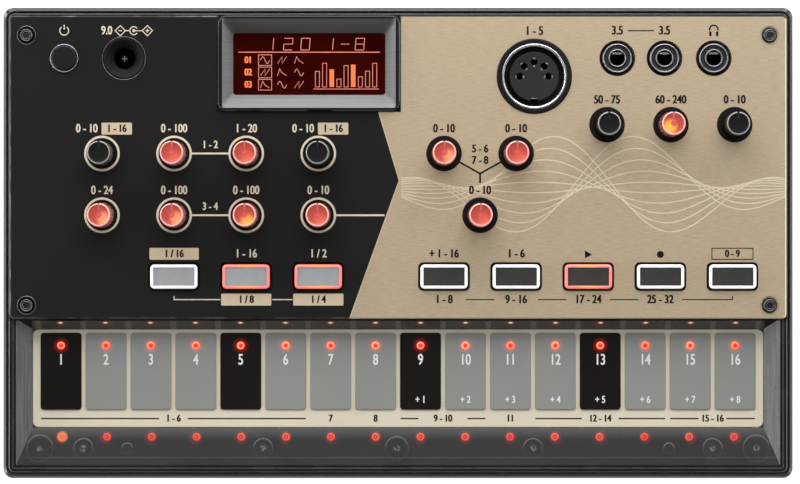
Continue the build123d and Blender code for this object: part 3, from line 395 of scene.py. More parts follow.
# Painted shade: the bare bevel is darker where it leans to the rear.
bevel_tone_painted_shade = tree.tones(lean_y, 0.1, 0.35, (214, 200, 176), (70, 64, 56))
bevel = tree.fade(lean_z, 0.95, 0.85)
face_tone = tree.mix(field, gold, ink)
shader["Base Color"] = tree.mix(bevel, face_tone, tree.mix(field, bevel_tone_painted_shade, rubbed_ink))
bare_face = tree.minus(1.0, tree.maths("MAXIMUM", field, tree.times(bevel, 0.5)))
shader["Metallic"] = tree.times(bare_face, 0.6)
shader["Specular IOR Level"] = 0.15
shader["Roughness"] = tree.plus(tree.fade(streak, 0.3, 0.7, 0.38, 0.46), tree.times(field, 0.15))
height = tree.plus(tree.times(streak, tree.minus(1.0, field)), tree.times(ink_grain["Height"], field))
shader["Normal"] = tree.bump(height, 0.006 * MM)
print("panel material nodes:", len(tree.tree.nodes))

# %% [markdown]
# ## Lamps under glossy plastic
#
# Each pad has a lamp, and each step has one under the smoked front slope. A
# lamp that shines through a skin has a bright ring, a deeper middle and a soft
# halo. `lamp_row` is a shared effect that measures the distance to the nearest
# of the sixteen lamps: the x coordinate is folded by the pitch of the pads, so
# one formula serves the whole row.

# %% Row of lamps as a shared effect
PAD_COUNT = 16
PAD_LAMP_WIDTH = 1.7 * MM
lamp_low, lamp_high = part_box("pad_lights")
PITCH = (lamp_high.x - lamp_low.x - PAD_LAMP_WIDTH) / (PAD_COUNT - 1)
pad_xs = [(i - (PAD_COUNT - 1) / 2) * PITCH for i in range(PAD_COUNT)]
PAD_LAMP_Y = middle("pad_lights")[1]
STEP_LAMP_Y = middle("step_lights")[1]
WHOLE_TURNS = 100.0            # whole pitches, added so that x is never below zero


def pitches(tree, x):
    """x counted in pitches of the pads."""
    return tree.plus(tree.over(x, PITCH), WHOLE_TURNS)


def folded(tree, x):
    """How far x is from the nearest lamp, in pitches."""
    return tree.minus(tree.maths("FRACT", pitches(tree, x)), 0.5)


def over_pads(tree, x):
    return tree.maths("LESS_THAN", tree.size(x), PAD_COUNT * PITCH / 2)


lamp_row, given, out = effect("lamp_row", {"Row": 0.0, "Reach": 2.0 * MM}, ["Distance", "Halo"])
x, y, z = lamp_row.place()
distance = lamp_row.reach(lamp_row.times(folded(lamp_row, x), PITCH), lamp_row.minus(y, given["Row"]))
out["Distance"] = distance
near = lamp_row.maths("SUBTRACT", 1.0, lamp_row.over(distance, given["Reach"]), clamp=True)
out["Halo"] = lamp_row.times(lamp_row.maths("POWER", near, 2.0), over_pads(lamp_row, x))
print("pad pitch:", round(PITCH / MM, 2), "mm")


# %% [markdown]
# The rubber pads scatter the light of their lamps, so their two finishes get
# the halo of the same shared effect as an emission.


# %% Glow on the pads
def glowing(name, reach, strength, colour):
    """Adds the light of the pads' lamps to a finish."""
    found = finishes[name].node_tree
    tree = Wiring(found)
    shader = Sockets(found, next(n for n in found.nodes if n.type == "BSDF_PRINCIPLED").inputs)
    halo = tree.use(lamp_row, Row=PAD_LAMP_Y, Reach=reach)["Halo"]
    shader["Emission Color"] = tree.mix(halo, (0, 0, 0), colour)
    shader["Emission Strength"] = strength


glowing("grey_pad", 2.2 * MM, 1.1, (255, 48, 34))
glowing("dark_pad", 2.3 * MM, 0.9, (255, 26, 12))
print("glowing pads:", PAD_COUNT)

# %% [markdown]
# ## Smoked plastic
#
# The upper case is a dark, slightly see-through moulding. Its leaning side
# walls are paler, a painted reflection, its rear wall carries dark and pale
# bands that are painted reflections of the pads and the gaps between them, and
# the screw bosses behind the front slope are painted on as faint rings. The
# normal tells the walls apart, and one shared effect draws the bosses, so no
# image texture is needed.

# %% A boss behind smoked plastic, as a shared effect
SCREW_BOSS = 2.0 * MM          # a boss wider than this has a screw in it
boss_ring, given, out = effect("boss_ring", {"Left": 0.0, "Front": 0.0, "Radius": 2.0 * MM},
                               ["Line", "Shade", "Head"])
x, y, z = boss_ring.place()
away = boss_ring.minus(y, given["Front"])
reach = boss_ring.reach(boss_ring.minus(x, given["Left"]), away)
line = boss_ring.fade(boss_ring.size(boss_ring.minus(reach, given["Radius"])), 0.22 * MM, 0.04 * MM)
# Painted highlight: the rim line is brightest on the rear side of the boss.
painted_highlight_side = boss_ring.fade(boss_ring.over(away, given["Radius"]), -0.2, 0.8, 0.15, 1.0)
out["Line"] = boss_ring.times(line, painted_highlight_side)
out["Shade"] = boss_ring.fade(boss_ring.over(reach, given["Radius"]), 0.95, 0.5)
uneven = boss_ring.fade(boss_ring.noise(1400.0), 0.4, 0.6)
screw = boss_ring.times(boss_ring.fade(reach, 1.0 * MM, 0.5 * MM), uneven)
out["Head"] = boss_ring.times(screw, boss_ring.maths("GREATER_THAN", given["Radius"], SCREW_BOSS))
print("boss effect nodes:", len(boss_ring.tree.nodes))

# %% [markdown]
# Each wall gets a mask first. It is one where the normal leans the right way and
# the place is past the foot of the wall, and it fades softly at its border.

# %% Walls of the tray
tray_low, tray_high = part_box("touch_board")
WALL_FOOT = tray_high.x - 0.05 * MM
REAR_FOOT = tray_high.y - 0.05 * MM
FRONT_FOOT = tray_low.y + 0.05 * MM
tree, shader = material("smoked_plastic")
x, y, z = tree.place()
lean_x, lean_y, lean_z = tree.facing()
far_x = tree.size(x)
sideways = tree.times(tree.fade(tree.size(lean_x), 0.3, 0.5), tree.fade(lean_z, 0.3, 0.5))
side_wall_painted_reflection = tree.times(sideways, tree.fade(far_x, WALL_FOOT - 0.2 * MM, WALL_FOOT))
in_slope = tree.times(tree.fade(lean_y, 0.15, 0.25), tree.fade(lean_z, 0.5, 0.8))
in_rear = tree.times(tree.fade(lean_y, -0.4, -0.6), tree.fade(y, REAR_FOOT - 0.3 * MM, REAR_FOOT))
in_rear = tree.times(in_rear, tree.fade(lean_z, 0.2, 0.4))
print("walls told apart:", 3)

# %% [markdown]
# The tone is built up in layers: the plain grain, a painted glow on the slope
# that grows towards the touch strip, painted reflections on the side walls and
# the rear wall, painted shade in the rear corners, painted highlights along the
# edges, and the shadow under the panel's edge.

# %% Tones of the smoked plastic
# Half the width of a reflected pad on the rear wall, as a share of the pitch.
REFLECTED_PAD_SHARE = 0.44            # half of a window, as a share of the pitch
grain = tree.use(moulded_grain, Fineness=900.0, Patches=120.0)
streak = tree.use(brushed_grain, Lines=60.0, Run=2600.0)["Streak"]
tone = tree.tones(grain["Sheen"], 0.35, 0.65, (26, 26, 27), (32, 32, 33))
# Painted light: the slope grows lighter towards the touch strip.
slope_painted_glow = tree.tones(y, FRONT_FOOT - 3.6 * MM, FRONT_FOOT + 0.4 * MM, (21, 19, 20), (74, 77, 77))
tone = tree.mix(in_slope, tone, slope_painted_glow)
# Painted reflection: the side walls are paler.
tone = tree.mix(side_wall_painted_reflection, tone, tree.tones(streak, 0.35, 0.65, (86, 84, 82), (108, 104, 101)))
aside = folded(tree, x)
# Painted reflections on the rear wall: dark bands for the pads, pale bands for the gaps between them.
rear = tree.tones(tree.size(aside), REFLECTED_PAD_SHARE - 0.02, REFLECTED_PAD_SHARE + 0.02, (84, 79, 78), (108, 104, 101))
# Painted shade in the rear corners of the tray.
rear = tree.tones(far_x, WALL_FOOT, WALL_FOOT + 0.3 * MM, rear, (22, 21, 21))
tone = tree.mix(in_rear, tone, rear)
under_panel = tree.times(tree.fade(y, REAR_FOOT + 2.1 * MM, REAR_FOOT + 2.3 * MM),
                         tree.fade(y, REAR_FOOT + 4.0 * MM, REAR_FOOT + 3.8 * MM))
tone = tree.mix(under_panel, tone, (12, 11, 11))
# Painted highlight along the edges of the tray.
edges = tree.use(edge_wear, Reach=0.35 * MM)["Edge"]
tone = tree.mix(tree.times(edges, 0.6), tone, (132, 129, 126))
print("windows in the rear wall:", PAD_COUNT)

# %% [markdown]
# What is inside is painted on faintly: each boss mixes in a darker disc, the
# line of its rim, brightest on its rear side as a painted highlight, and the
# head of its screw as a painted glint, each by a small share.

# %% Bosses and seam behind the front slope
BOSSES = [(-87.6, 3.2), (-76.9, 2.35), (-66.2, 1.3), (-33.0, 2.35), (-0.3, 2.8), (33.0, 2.35), (66.2, 1.3),
          (76.9, 2.35), (87.6, 3.2)]   # x and radius
BOSS_Y = -50.2 * MM
SEAM_Y = BOSS_Y - 2.2 * MM
# Each boss adds a darker disc, a rim line with a painted highlight, and a screw head painted as a glint.
for boss_x, radius in BOSSES:
    seen = tree.use(boss_ring, Left=boss_x * MM, Front=BOSS_Y, Radius=radius * MM)
    tone = tree.mix(tree.times(seen["Shade"], 0.35), tone, (24, 23, 24))
    tone = tree.mix(tree.times(seen["Line"], 0.6), tone, (120, 118, 116))
    tone = tree.mix(tree.times(seen["Head"], 0.5), tone, (128, 127, 126))
seam = tree.fade(tree.size(tree.minus(y, SEAM_Y)), 0.16 * MM, 0.04 * MM)
shader["Base Color"] = tree.mix(tree.times(tree.times(seam, in_slope), 0.3), tone, (90, 86, 86))
print("bosses:", len(BOSSES))

# %% [markdown]
# The halo of the step lamps on the slope is painted light, and the small glints
# low on the rear wall are painted reflections of the pads' lamps; both are emission.

# %% Light in the smoked plastic
GLINT_RISE = 1.75 * MM         # how far behind the foot of the rear wall the glints sit
GLINT_LONG = 0.72 * MM
GLINT_WIDE = 0.3 * MM
SMOKE = 0.84                   # how much of what is behind the plastic it hides
# Painted light: the step lamps' halo on the slope.
row = tree.use(lamp_row, Row=STEP_LAMP_Y, Reach=2.1 * MM)
outside = tree.fade(row["Distance"], 0.6 * MM, 1.0 * MM, 0.4, 1.0)
halo = tree.times(tree.times(row["Halo"], outside), in_slope)
glow = tree.mix(halo, (0, 0, 0), (196, 30, 16))
# Painted reflections of the pads' lamps: glints low on the rear wall.
away = tree.over(tree.minus(y, REAR_FOOT + GLINT_RISE), GLINT_WIDE)
spread = tree.reach(tree.over(tree.times(aside, PITCH), GLINT_LONG), away)
glint = tree.times(tree.times(tree.fade(spread, 1.5, 0.3), in_rear), over_pads(tree, x))
glint_tone = tree.tones(spread, 0.85, 0.35, (214, 92, 50), (255, 226, 200))
shader["Emission Color"] = tree.mix(glint, glow, glint_tone)
shader["Emission Strength"] = 0.9
shader["Roughness"] = tree.fade(grain["Sheen"], 0.3, 0.7, 0.22, 0.3)
shader["Specular IOR Level"] = 0.35
shader["Alpha"] = tree.times(SMOKE, tree.minus(1.0, tree.node("NewGeometry")["Backfacing"]))
shader["Normal"] = tree.bump(grain["Height"], 0.002 * MM)
print("smoked plastic nodes:", len(tree.tree.nodes))

# %% [markdown]
# ## The display collar
#
# The collar's rim is black and polished, and its leaning faces are satin grey
# with fine lines from side to side; the face that leans to the front is darker, a painted shade.
# All are one moulding, so one material holds them, and the edge between them is
# the mouth of the collar.

# %% Display collar material
collar_low, collar_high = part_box("display_bezel")
collar_x, collar_y = middle("display_bezel")
COLLAR_LIP = 1.05 * MM
COLLAR_END_LIP = 0.75 * MM
tree, shader = material("collar_black")
x, y, z = tree.place()
streak = tree.use(brushed_grain, Lines=2600.0, Run=20.0)["Streak"]
aside = tree.minus(tree.size(tree.minus(x, collar_x)), (collar_high.x - collar_low.x) / 2 - COLLAR_LIP)
away = tree.minus(tree.size(tree.minus(y, collar_y)), (collar_high.y - collar_low.y) / 2 - COLLAR_END_LIP)
lip = tree.fade(tree.maths("MAXIMUM", aside, away), -0.08 * MM, 0.0)
satin_and_painted_shade = tree.tones(streak, 0.35, 0.65, (112, 113, 114), (128, 129, 130))
# Painted shade: the face that leans to the front is darker.
satin_and_painted_shade = tree.tones(tree.facing()[1], -0.15, -0.35, satin_and_painted_shade, (88, 89, 89))
shader["Base Color"] = tree.mix(lip, satin_and_painted_shade, (22, 22, 23))
shader["Roughness"] = tree.fade(lip, 0.0, 1.0, 0.42, 0.12)
shader["Normal"] = tree.bump(streak, 0.003 * MM)
print("collar:", round((collar_high.x - collar_low.x) / MM, 1), "mm long")

# %% [markdown]
# The record names a slot for each part, and most finishes have the same name. A
# few parts get a finish of their own.

# %% Dress the CAD nodes
OWN_FINISH = {"display_bezel": "collar_black", "jack_ferrules": "sleeve_black",
              "round_socket": "socket_shell", "round_contacts": "plated_metal",
              "power_inlet": "funnel_black", "inlet_pin": "bright_pin"}
dressed = 0
for part in frame["record"]["subparts"]:
    finish = OWN_FINISH.get(part["node"], part["material_slot"])
    if finish in finishes:
        data = nodes[part["node"]].data
        data.materials.clear()
        data.materials.append(finishes[finish])
        dressed += 1
print("dressed nodes:", dressed)

# %% [markdown]
# ## Small mesh tools
#
# Print, caps, lenses and rings are meshes too, and each is built in a bmesh. A
# round form is a stack of rings of points with faces between them: `skin` makes
# it. `Sheet` collects flat shapes at one height: rings, lines, rounded boxes
# and numbers, all in millimetres, and turns them into one piece on the case.


# %% Outlines, skins and pieces
def circle(cx, cy, radius, z, sides):
    turns = [2 * pi * i / sides for i in range(sides)]
    return [(cx + radius * cos(turn), cy + radius * sin(turn), z) for turn in turns]


def rounded_box(cx, cy, length, width, radius, steps=6):
    """The corner points of a rounded box, counter-clockwise."""
    if radius <= 0:
        left, right = cx - length / 2, cx + length / 2
        front, rear = cy - width / 2, cy + width / 2
        return [(left, front), (right, front), (right, rear), (left, rear)]
    points = []
    for sx, sy, start in ((1, 1, 0), (-1, 1, 90), (-1, -1, 180), (1, -1, 270)):
        mx, my = cx + sx * (length / 2 - radius), cy + sy * (width / 2 - radius)
        for i in range(steps + 1):
            turn = radians(start + 90 * i / steps)
            points.append((mx + radius * cos(turn), my + radius * sin(turn)))
    return points


def skin(mesh, rings, close=True):
    """Faces between rings of points in millimetres, and one face on the last ring."""
    rings = [[mesh.verts.new((px * MM, py * MM, pz * MM)) for px, py, pz in ring] for ring in rings]
    for low, high in zip(rings, rings[1:]):
        for i in range(len(low)):
            j = (i + 1) % len(low)
            mesh.faces.new((low[i], low[j], high[j], high[i]))
    if close:
        mesh.faces.new(rings[-1])


def solid(name, mesh, finish, smooth=True):
    """Turns a bmesh into mesh data with a finish."""
    data = bpy.data.meshes.new(name)
    mesh.to_mesh(data)
    mesh.free()
    data.materials.append(finishes[finish])
    if smooth:
        data.shade_smooth()
    return data


def piece(name, mesh, finish, body="case", smooth=True):
    """Turns a bmesh into a piece that moves with a body."""
    made = bpy.data.objects.new(name, solid(name, mesh, finish, smooth))
    bpy.context.scene.collection.objects.link(made)
    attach(made, body)
    return made


print("points of a rounded box:", len(rounded_box(0.0, 0.0, 2.0, 1.0, 0.2)))

# %% [markdown]
# Ink on a real panel is a film. Here it is flat faces a hair over the surface,
# collected in one mesh, which keeps the print sharp at any distance. Numbers
# are text that Blender turns into faces.

# %% A sheet of print
DIGIT_SHARE = 0.7              # how much of its size a digit of the font fills
print("font size of a 2 mm number:", round(2.0 / DIGIT_SHARE, 2), "mm")


class Sheet:
    """Flat printed shapes at one height, in millimetres."""

    def __init__(self, height, bold=0.085):
        self.mesh = bmesh.new()
        self.height = height / MM
        self.bold = bold

    def face(self, points):
        self.mesh.faces.new([self.mesh.verts.new((px * MM, py * MM, self.height * MM)) for px, py in points])

    def ring(self, cx, cy, inner, outer, start=0.0, end=360.0, sides=72):
        turns = [radians(start + (end - start) * i / sides) for i in range(sides + 1)]
        for a, b in zip(turns, turns[1:]):
            corners = ((inner, a), (outer, a), (outer, b), (inner, b))
            self.face([(cx + radius * cos(turn), cy + radius * sin(turn)) for radius, turn in corners])

    def disc(self, cx, cy, radius):
        self.face([(px, py) for px, py, pz in circle(cx, cy, radius, 0.0, 40)])

    def line(self, points, width):
        """One unbroken band along the points, with mitred corners."""
        normals = []
        for (ax, ay), (bx, by) in zip(points, points[1:]):
            length = hypot(bx - ax, by - ay)
            normals.append(((ay - by) / length, (bx - ax) / length))
        closed = points[0] == points[-1]
        before = [normals[-1] if closed else normals[0]] + normals
        after = normals + [normals[0] if closed else normals[-1]]
        lefts, rights = [], []
        for (px, py), (ax, ay), (bx, by) in zip(points, before, after):
            reach = width / 2 / max(1 + ax * bx + ay * by, 0.4)
            ox, oy = (ax + bx) * reach, (ay + by) * reach
            lefts.append((px + ox, py + oy))
            rights.append((px - ox, py - oy))
        for i in range(len(points) - 1):
            self.face([rights[i], rights[i + 1], lefts[i + 1], lefts[i]])

    def box(self, cx, cy, length, width, radius=0.0):
        self.face(rounded_box(cx, cy, length, width, radius))

    def frame(self, cx, cy, length, width, stroke):
        corners = rounded_box(cx, cy, length, width, 0.0)
        self.line(corners + corners[:1], stroke)

    def number(self, text, cx, cy, height, narrow=0.78, bold=None):
        """A number twice, a little apart and one hair above the other, so that it looks bold."""
        curve = bpy.data.curves.new("number", "FONT")
        curve.body = text
        curve.offset = 0.012
        curve.align_x = "CENTER"
        curve.align_y = "CENTER"
        holder = bpy.data.objects.new("number", curve)
        bpy.context.scene.collection.objects.link(holder)
        flat = bpy.data.meshes.new_from_object(holder.evaluated_get(bpy.context.evaluated_depsgraph_get()))
        size = height / DIGIT_SHARE
        bold = self.bold if bold is None else bold
        for shift, lift in ((-bold, 0.0), (bold, 0.002)):
            before = len(self.mesh.verts)
            self.mesh.from_mesh(flat)
            self.mesh.verts.ensure_lookup_table()
            for vert in self.mesh.verts[before:]:
                px, py = cx + shift + vert.co.x * size * narrow, cy + vert.co.y * size
                vert.co = Vector((px * MM, py * MM, (self.height + lift) * MM))
        bpy.data.objects.remove(holder)
        bpy.data.curves.remove(curve)
        bpy.data.meshes.remove(flat)

    def finish(self, name, finish):
        for face in self.mesh.faces:
            face.normal_update()
            if face.normal.z < 0:
                face.normal_flip()
        return piece(name, self.mesh, finish, smooth=False)


# %% [markdown]
# ## Printed inks
#
# The print on the black field is a warm off-white, and on the bare metal it is
# black. All are thin matt films, so they get a soft mottle and little gloss.

# %% Ink finishes
plastic("light_ink", (212, 199, 176), 0.6, grain=0.002, edge=(222, 210, 188), edge_share=0.0)
plastic("box_ink", (196, 178, 150), 0.6, grain=0.002, edge=(206, 190, 164), edge_share=0.0)
plastic("dark_ink", (16, 14, 12), 0.6, grain=0.002, edge=(26, 23, 20), edge_share=0.0, gloss=0.15)
plastic("white_ink", (226, 225, 218), 0.6, grain=0.002, edge=(234, 233, 226), edge_share=0.0)
plastic("wave_ink", (217, 202, 172), 0.4, grain=0.002, edge=(230, 218, 192), edge_share=0.0)
PRINT_Z = PANEL_Z + 0.02 * MM
BOX_WIDTH, BOX_CORNER, BOX_NUMBER = 2.9, 0.25, 1.8
light = Sheet(PRINT_Z, bold=0.045)
dark = Sheet(PRINT_Z)
boxes = Sheet(PRINT_Z)
over = Sheet(PRINT_Z + 0.01 * MM)


def boxed(text, x, y, length):
    """A dark number on a pale box."""
    boxes.box(x, y, length, BOX_WIDTH, BOX_CORNER)
    over.number(text, x, y, BOX_NUMBER)


def spot(node_name):
    """A node's middle in millimetres."""
    x, y = middle(node_name)
    return x / MM, y / MM


def on_black(x, y):
    """True on the printed black field."""
    forward = y - ARROW_TIP[1] / MM
    return x < ARROW_TIP[0] / MM + min(REAR_SLANT * forward, FRONT_SLANT * forward)


print("inks:", sum(name.endswith("_ink") for name in finishes))

# %% [markdown]
# ## Rings, links and numbers on the panel
#
# Each knob sits in a printed ring, and thin lines link the rings that work
# together. The real panel names its controls in words; here each one has a
# plain number instead, in the same place and about the same size.

# %% Knob print
RING_INNER = 3.8
RING_OUTER = 4.34
KNOB_HOLE = 3.2                # the radius of the hole that a knob turns in
LABEL_RISE = 6.05              # how far behind a knob its number stands
LABEL = 2.0                    # the height of such a number
LABELS = {"amount_knob": "0 - 100", "rate_knob": "1 - 20", "pitch_knob": "0 - 24", "attack_knob": "0 - 100",
          "release_knob": "0 - 100", "swing_knob": "50 - 75", "tempo_knob": "60 - 240"}
for name in dark_knobs + lit_knobs:
    x, y = spot(name)
    sheet = light if on_black(x, y) else dark
    sheet.ring(x, y, RING_INNER if sheet is light else KNOB_HOLE, RING_OUTER)
    shift = 3.7 if name in ("level_knob", "select_knob") else 0.0
    sheet.number(LABELS.get(name, "0 - 10"), x - shift, y + LABEL_RISE, LABEL)
    if shift:
        boxed("1 - 16", x + 3.6, y + LABEL_RISE, 7.4)

LINK = 0.45
for text, left, right in (("1 - 2", "amount_knob", "rate_knob"), ("3 - 4", "attack_knob", "release_knob")):
    (ax, ay), (bx, by) = spot(left), spot(right)
    light.number(text, (ax + bx) / 2, ay + 2.1, 1.8)
    light.line([(ax + RING_OUTER, ay), (bx - RING_OUTER, by)], LINK)
send_x, send_y = spot("send_knob")
light.line([(send_x + RING_OUTER, send_y), (-3.3, send_y)], LINK)
fork_x, fork_y = spot("tune_knob")[0], spot("decay_knob")[1] - 4.9
for knob_x, knob_y in (spot("decay_knob"), spot("tone_knob")):
    share = RING_OUTER / hypot(fork_x - knob_x, fork_y - knob_y)
    start = (knob_x + (fork_x - knob_x) * share, knob_y + (fork_y - knob_y) * share)
    dark.line([start, (fork_x, fork_y)], LINK)
dark.line([(fork_x, fork_y), (fork_x, fork_y - 2.3)], LINK)
dark.number("5 - 6", fork_x, fork_y + 6.0, 1.9)
dark.number("7 - 8", fork_x, fork_y + 3.2, 1.9)
print("rings:", len(dark_knobs + lit_knobs))

# %% [markdown]
# The keys have numbers behind and in front of them, and brackets that join the
# keys of a group.

# %% Key print
key_row = spot("shift_key")[1]
BRACKET_Y = key_row - 5.6
BRACKET_END = BRACKET_Y + 0.9
KEY_LABEL_Y = key_row + 5.55
SYMBOL_Y = key_row + 5.4
BRACKET = 0.25
LEFT_GAP, RIGHT_GAP = 6.3, 5.3  # from a key's middle to the line of the bracket
left_keys = [spot(name)[0] for name in ("shift_key", "layer_key", "edit_key")]
right_keys = [spot(name)[0] for name in ("step_key", "mute_key", "play_key", "record_key", "function_key")]
boxed("1 / 16", left_keys[0], KEY_LABEL_Y, 12.0)
for x, above, below in zip(left_keys[1:], ("1 - 16", "1 / 2"), ("1 / 8", "1 / 4")):
    light.number(above, x, KEY_LABEL_Y, LABEL)
    boxed(below, x, BRACKET_Y, 12.2)
shift_x, layer_x, edit_x = left_keys
light.line([(shift_x, BRACKET_END), (shift_x, BRACKET_Y), (layer_x - LEFT_GAP, BRACKET_Y)], BRACKET)
light.line([(layer_x + LEFT_GAP, BRACKET_Y), (edit_x - LEFT_GAP, BRACKET_Y)], BRACKET)
for x, above in zip(right_keys, ("+ 1 - 16", "1 - 6")):
    dark.number(above, x, KEY_LABEL_Y, LABEL)
for x, below in zip(right_keys, ("1 - 8", "9 - 16", "17 - 24", "25 - 32")):
    dark.number(below, x, BRACKET_Y, LABEL)
for left, right in zip(right_keys, right_keys[1:4]):
    dark.line([(left + RIGHT_GAP, BRACKET_Y), (right - RIGHT_GAP, BRACKET_Y)], BRACKET)
play_x, record_x, function_x = right_keys[2:]
dark.line([(record_x + RIGHT_GAP, BRACKET_Y), (function_x, BRACKET_Y), (function_x, BRACKET_END)], BRACKET)
dark.face([(play_x - 0.8, SYMBOL_Y - 0.95), (play_x + 0.95, SYMBOL_Y), (play_x - 0.8, SYMBOL_Y + 0.95)])
dark.disc(record_x, SYMBOL_Y, 0.85)
dark.frame(function_x, KEY_LABEL_Y, 10.0, 2.7, 0.22)
dark.number("0 - 9", function_x, KEY_LABEL_Y, 1.7)
print("keys with print:", len(left_keys + right_keys))

# %% [markdown]
# ## Symbols at the sockets
#
# Three symbols are the same on every maker's gear: the power mark, the
# polarity of the barrel plug, and headphones.

# %% Power symbols
power_x, socket_row = spot("power_button")
SYMBOL_ROW = socket_row + 6.7
THIN, FINE, STOUT = 0.22, 0.24, 0.28
light.ring(power_x, SYMBOL_ROW, 0.95, 1.2, -235, 55)
light.line([(power_x, SYMBOL_ROW + 0.3), (power_x, SYMBOL_ROW + 1.45)], STOUT)
inlet_x = spot("power_inlet")[0]
mark_x = inlet_x + 2.4
MARK_SPREAD = 3.3              # from the middle of the polarity mark to its plus and minus
for side in (mark_x - MARK_SPREAD, mark_x + MARK_SPREAD):
    corners = [(px, py) for px, py, pz in circle(side, SYMBOL_ROW, 1.25, 0.0, 4)]
    light.line(corners + corners[:1], THIN)
    light.line([(side - 0.45, SYMBOL_ROW), (side + 0.45, SYMBOL_ROW)], FINE)
for low, high in ((-0.45, -0.13), (0.13, 0.45)):
    light.line([(mark_x + MARK_SPREAD, SYMBOL_ROW + low), (mark_x + MARK_SPREAD, SYMBOL_ROW + high)], FINE)
light.ring(mark_x, SYMBOL_ROW, 0.85, 1.1, 35, 325, sides=40)
light.disc(mark_x, SYMBOL_ROW, 0.38)
for left, right in ((-2.0, -1.1), (0.38, 2.0)):
    light.line([(mark_x + left, SYMBOL_ROW), (mark_x + right, SYMBOL_ROW)], THIN)
light.number("9.0", inlet_x - 4.2, SYMBOL_ROW, LABEL)
print("polarity mark at x:", round(mark_x, 1), "mm")

# %% [markdown]
# The three small jacks stand in one row, and each has a thin black ring. The
# middle one is a little nearer to the left one, so its place is a share.

# %% Jack symbols
FERRULE_RADIUS = 3.7
MIDDLE_JACK = 0.4894           # where the middle jack stands between the other two
jack_low, jack_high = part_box("jack_ferrules")
first_jack, last_jack = jack_low.x / MM + FERRULE_RADIUS, jack_high.x / MM - FERRULE_RADIUS
jack_xs = [first_jack, first_jack + (last_jack - first_jack) * MIDDLE_JACK, last_jack]
for jack_x in jack_xs:
    dark.ring(jack_x, socket_row, 4.1, 4.35)
for jack_x in jack_xs[:2]:
    dark.number("3.5", jack_x, SYMBOL_ROW, 2.1)
dark.line([(jack_xs[0] + 2.6, SYMBOL_ROW), (jack_xs[1] - 2.6, SYMBOL_ROW)], STOUT)
dark.ring(last_jack, SYMBOL_ROW + 0.3, 0.82, 1.2, -15, 195, sides=40)
for side in (-0.82, 0.82):
    dark.box(last_jack + side, SYMBOL_ROW - 0.75, 0.6, 1.2, 0.25)
round_x, round_y = spot("round_socket")
dark.number("1 - 5", round_x, round_y + 11.0, 2.1)
light.finish("panel_print_light", "light_ink")
dark.finish("panel_print_dark", "dark_ink")
boxes.finish("panel_print_boxes", "box_ink")
over.finish("panel_print_over_boxes", "dark_ink")
print("panel print sheets:", 4)

# %% [markdown]
# ## Line art on the metal
#
# The bare metal carries fine pale line art. Here it is a plain wave pattern of
# the builder's own: a bundle of cosine curves that swell in the middle and come
# together towards both ends, as a drum's tone does on a meter. Each curve is a
# thin ribbon just under the black print, and stops short of rings and sockets.

# %% Wave pattern
waves = Sheet(PANEL_Z)
WAVE_START, WAVE_END, WAVE_Y = 0.8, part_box("front_panel")[1].x / MM - 0.35, 13.5
WAVE_STEPS = 240
WAVE_WIDTH = 0.24
STRANDS = 10
SWELL = 13.0                   # how far the outer strands reach
blocked = [(spot(name), RING_OUTER + 0.2) for name in dark_knobs + lit_knobs] + [((round_x, round_y), 9.6)]
blocked += [((jack_x, socket_row), 4.5) for jack_x in jack_xs]
for strand in range(STRANDS):
    waves.height = PANEL_Z / MM + 0.001 + 0.001 * strand
    swell = -SWELL + 2 * SWELL * strand / (STRANDS - 1)
    run = []
    for i in range(WAVE_STEPS + 1):
        share = i / WAVE_STEPS
        x = WAVE_START + (WAVE_END - WAVE_START) * share
        y = WAVE_Y + swell * (0.2 + 0.8 * sin(pi * share)) * cos(3 * pi * share + 0.04 * swell)
        free = all(hypot(x - cx, y - cy) > reach for (cx, cy), reach in blocked) and not on_black(x - 0.5, y)
        if free:
            run.append((x, y))
        if len(run) > 1 and (i == WAVE_STEPS or not free):
            waves.line(run, WAVE_WIDTH)
        if not free:
            run = []
waves.finish("wave_pattern", "wave_ink")
print("strands:", STRANDS)

# %% [markdown]
# ## Knobs
#
# A knob is a slim tapered cap with fine ribs, a flat top with a raised rim that
# carries a painted highlight, and a notch that points. Turning a profile round an
# axis gives all of it: each ring of points is one height, and the ribs are a
# gentle wave in its radius. One mesh serves all knobs of a finish, and the
# objects only differ in place, so the file stays small.

# %% Knob mesh
KNOB_PROFILE = [  # radius, height over the panel, share of the ribs
    (3.1, -0.65, 0.0), (3.1, 0.2, 0.0), (3.08, 0.35, 0.5), (3.06, 0.5, 1.0), (2.97, 4.5, 1.0),
    (2.88, 8.6, 1.0), (2.86, 9.1, 0.8), (2.84, 9.35, 0.2), (2.8, 9.55, 0.0), (2.72, 9.7, 0.0),
    (2.62, 9.78, 0.0), (2.54, 9.79, 0.0), (2.48, 9.72, 0.0), (2.44, 9.62, 0.0), (2.3, 9.58, 0.0),
    (1.5, 9.56, 0.0), (0.6, 9.55, 0.0)]
RIBS = 40
RIB_DEPTH = 0.1
NOTCH_HALF = 0.24
NOTCH_START = 1.95
NOTCH_FLOOR = 9.15


def knob_mesh():
    mesh = bmesh.new()
    rings = []
    for radius, rise, ribbed in KNOB_PROFILE:
        ring = []
        for i in range(RIBS * 4):
            turn = 2 * pi * i / (RIBS * 4)
            reach = radius - ribbed * RIB_DEPTH * (0.5 - 0.5 * cos(RIBS * turn))
            x, y = reach * cos(turn), reach * sin(turn)
            notched = abs(x) < NOTCH_HALF and y > NOTCH_START
            ring.append((x, y, PANEL_Z / MM + (min(rise, NOTCH_FLOOR) if notched else rise)))
        rings.append(ring)
    skin(mesh, rings)
    return mesh


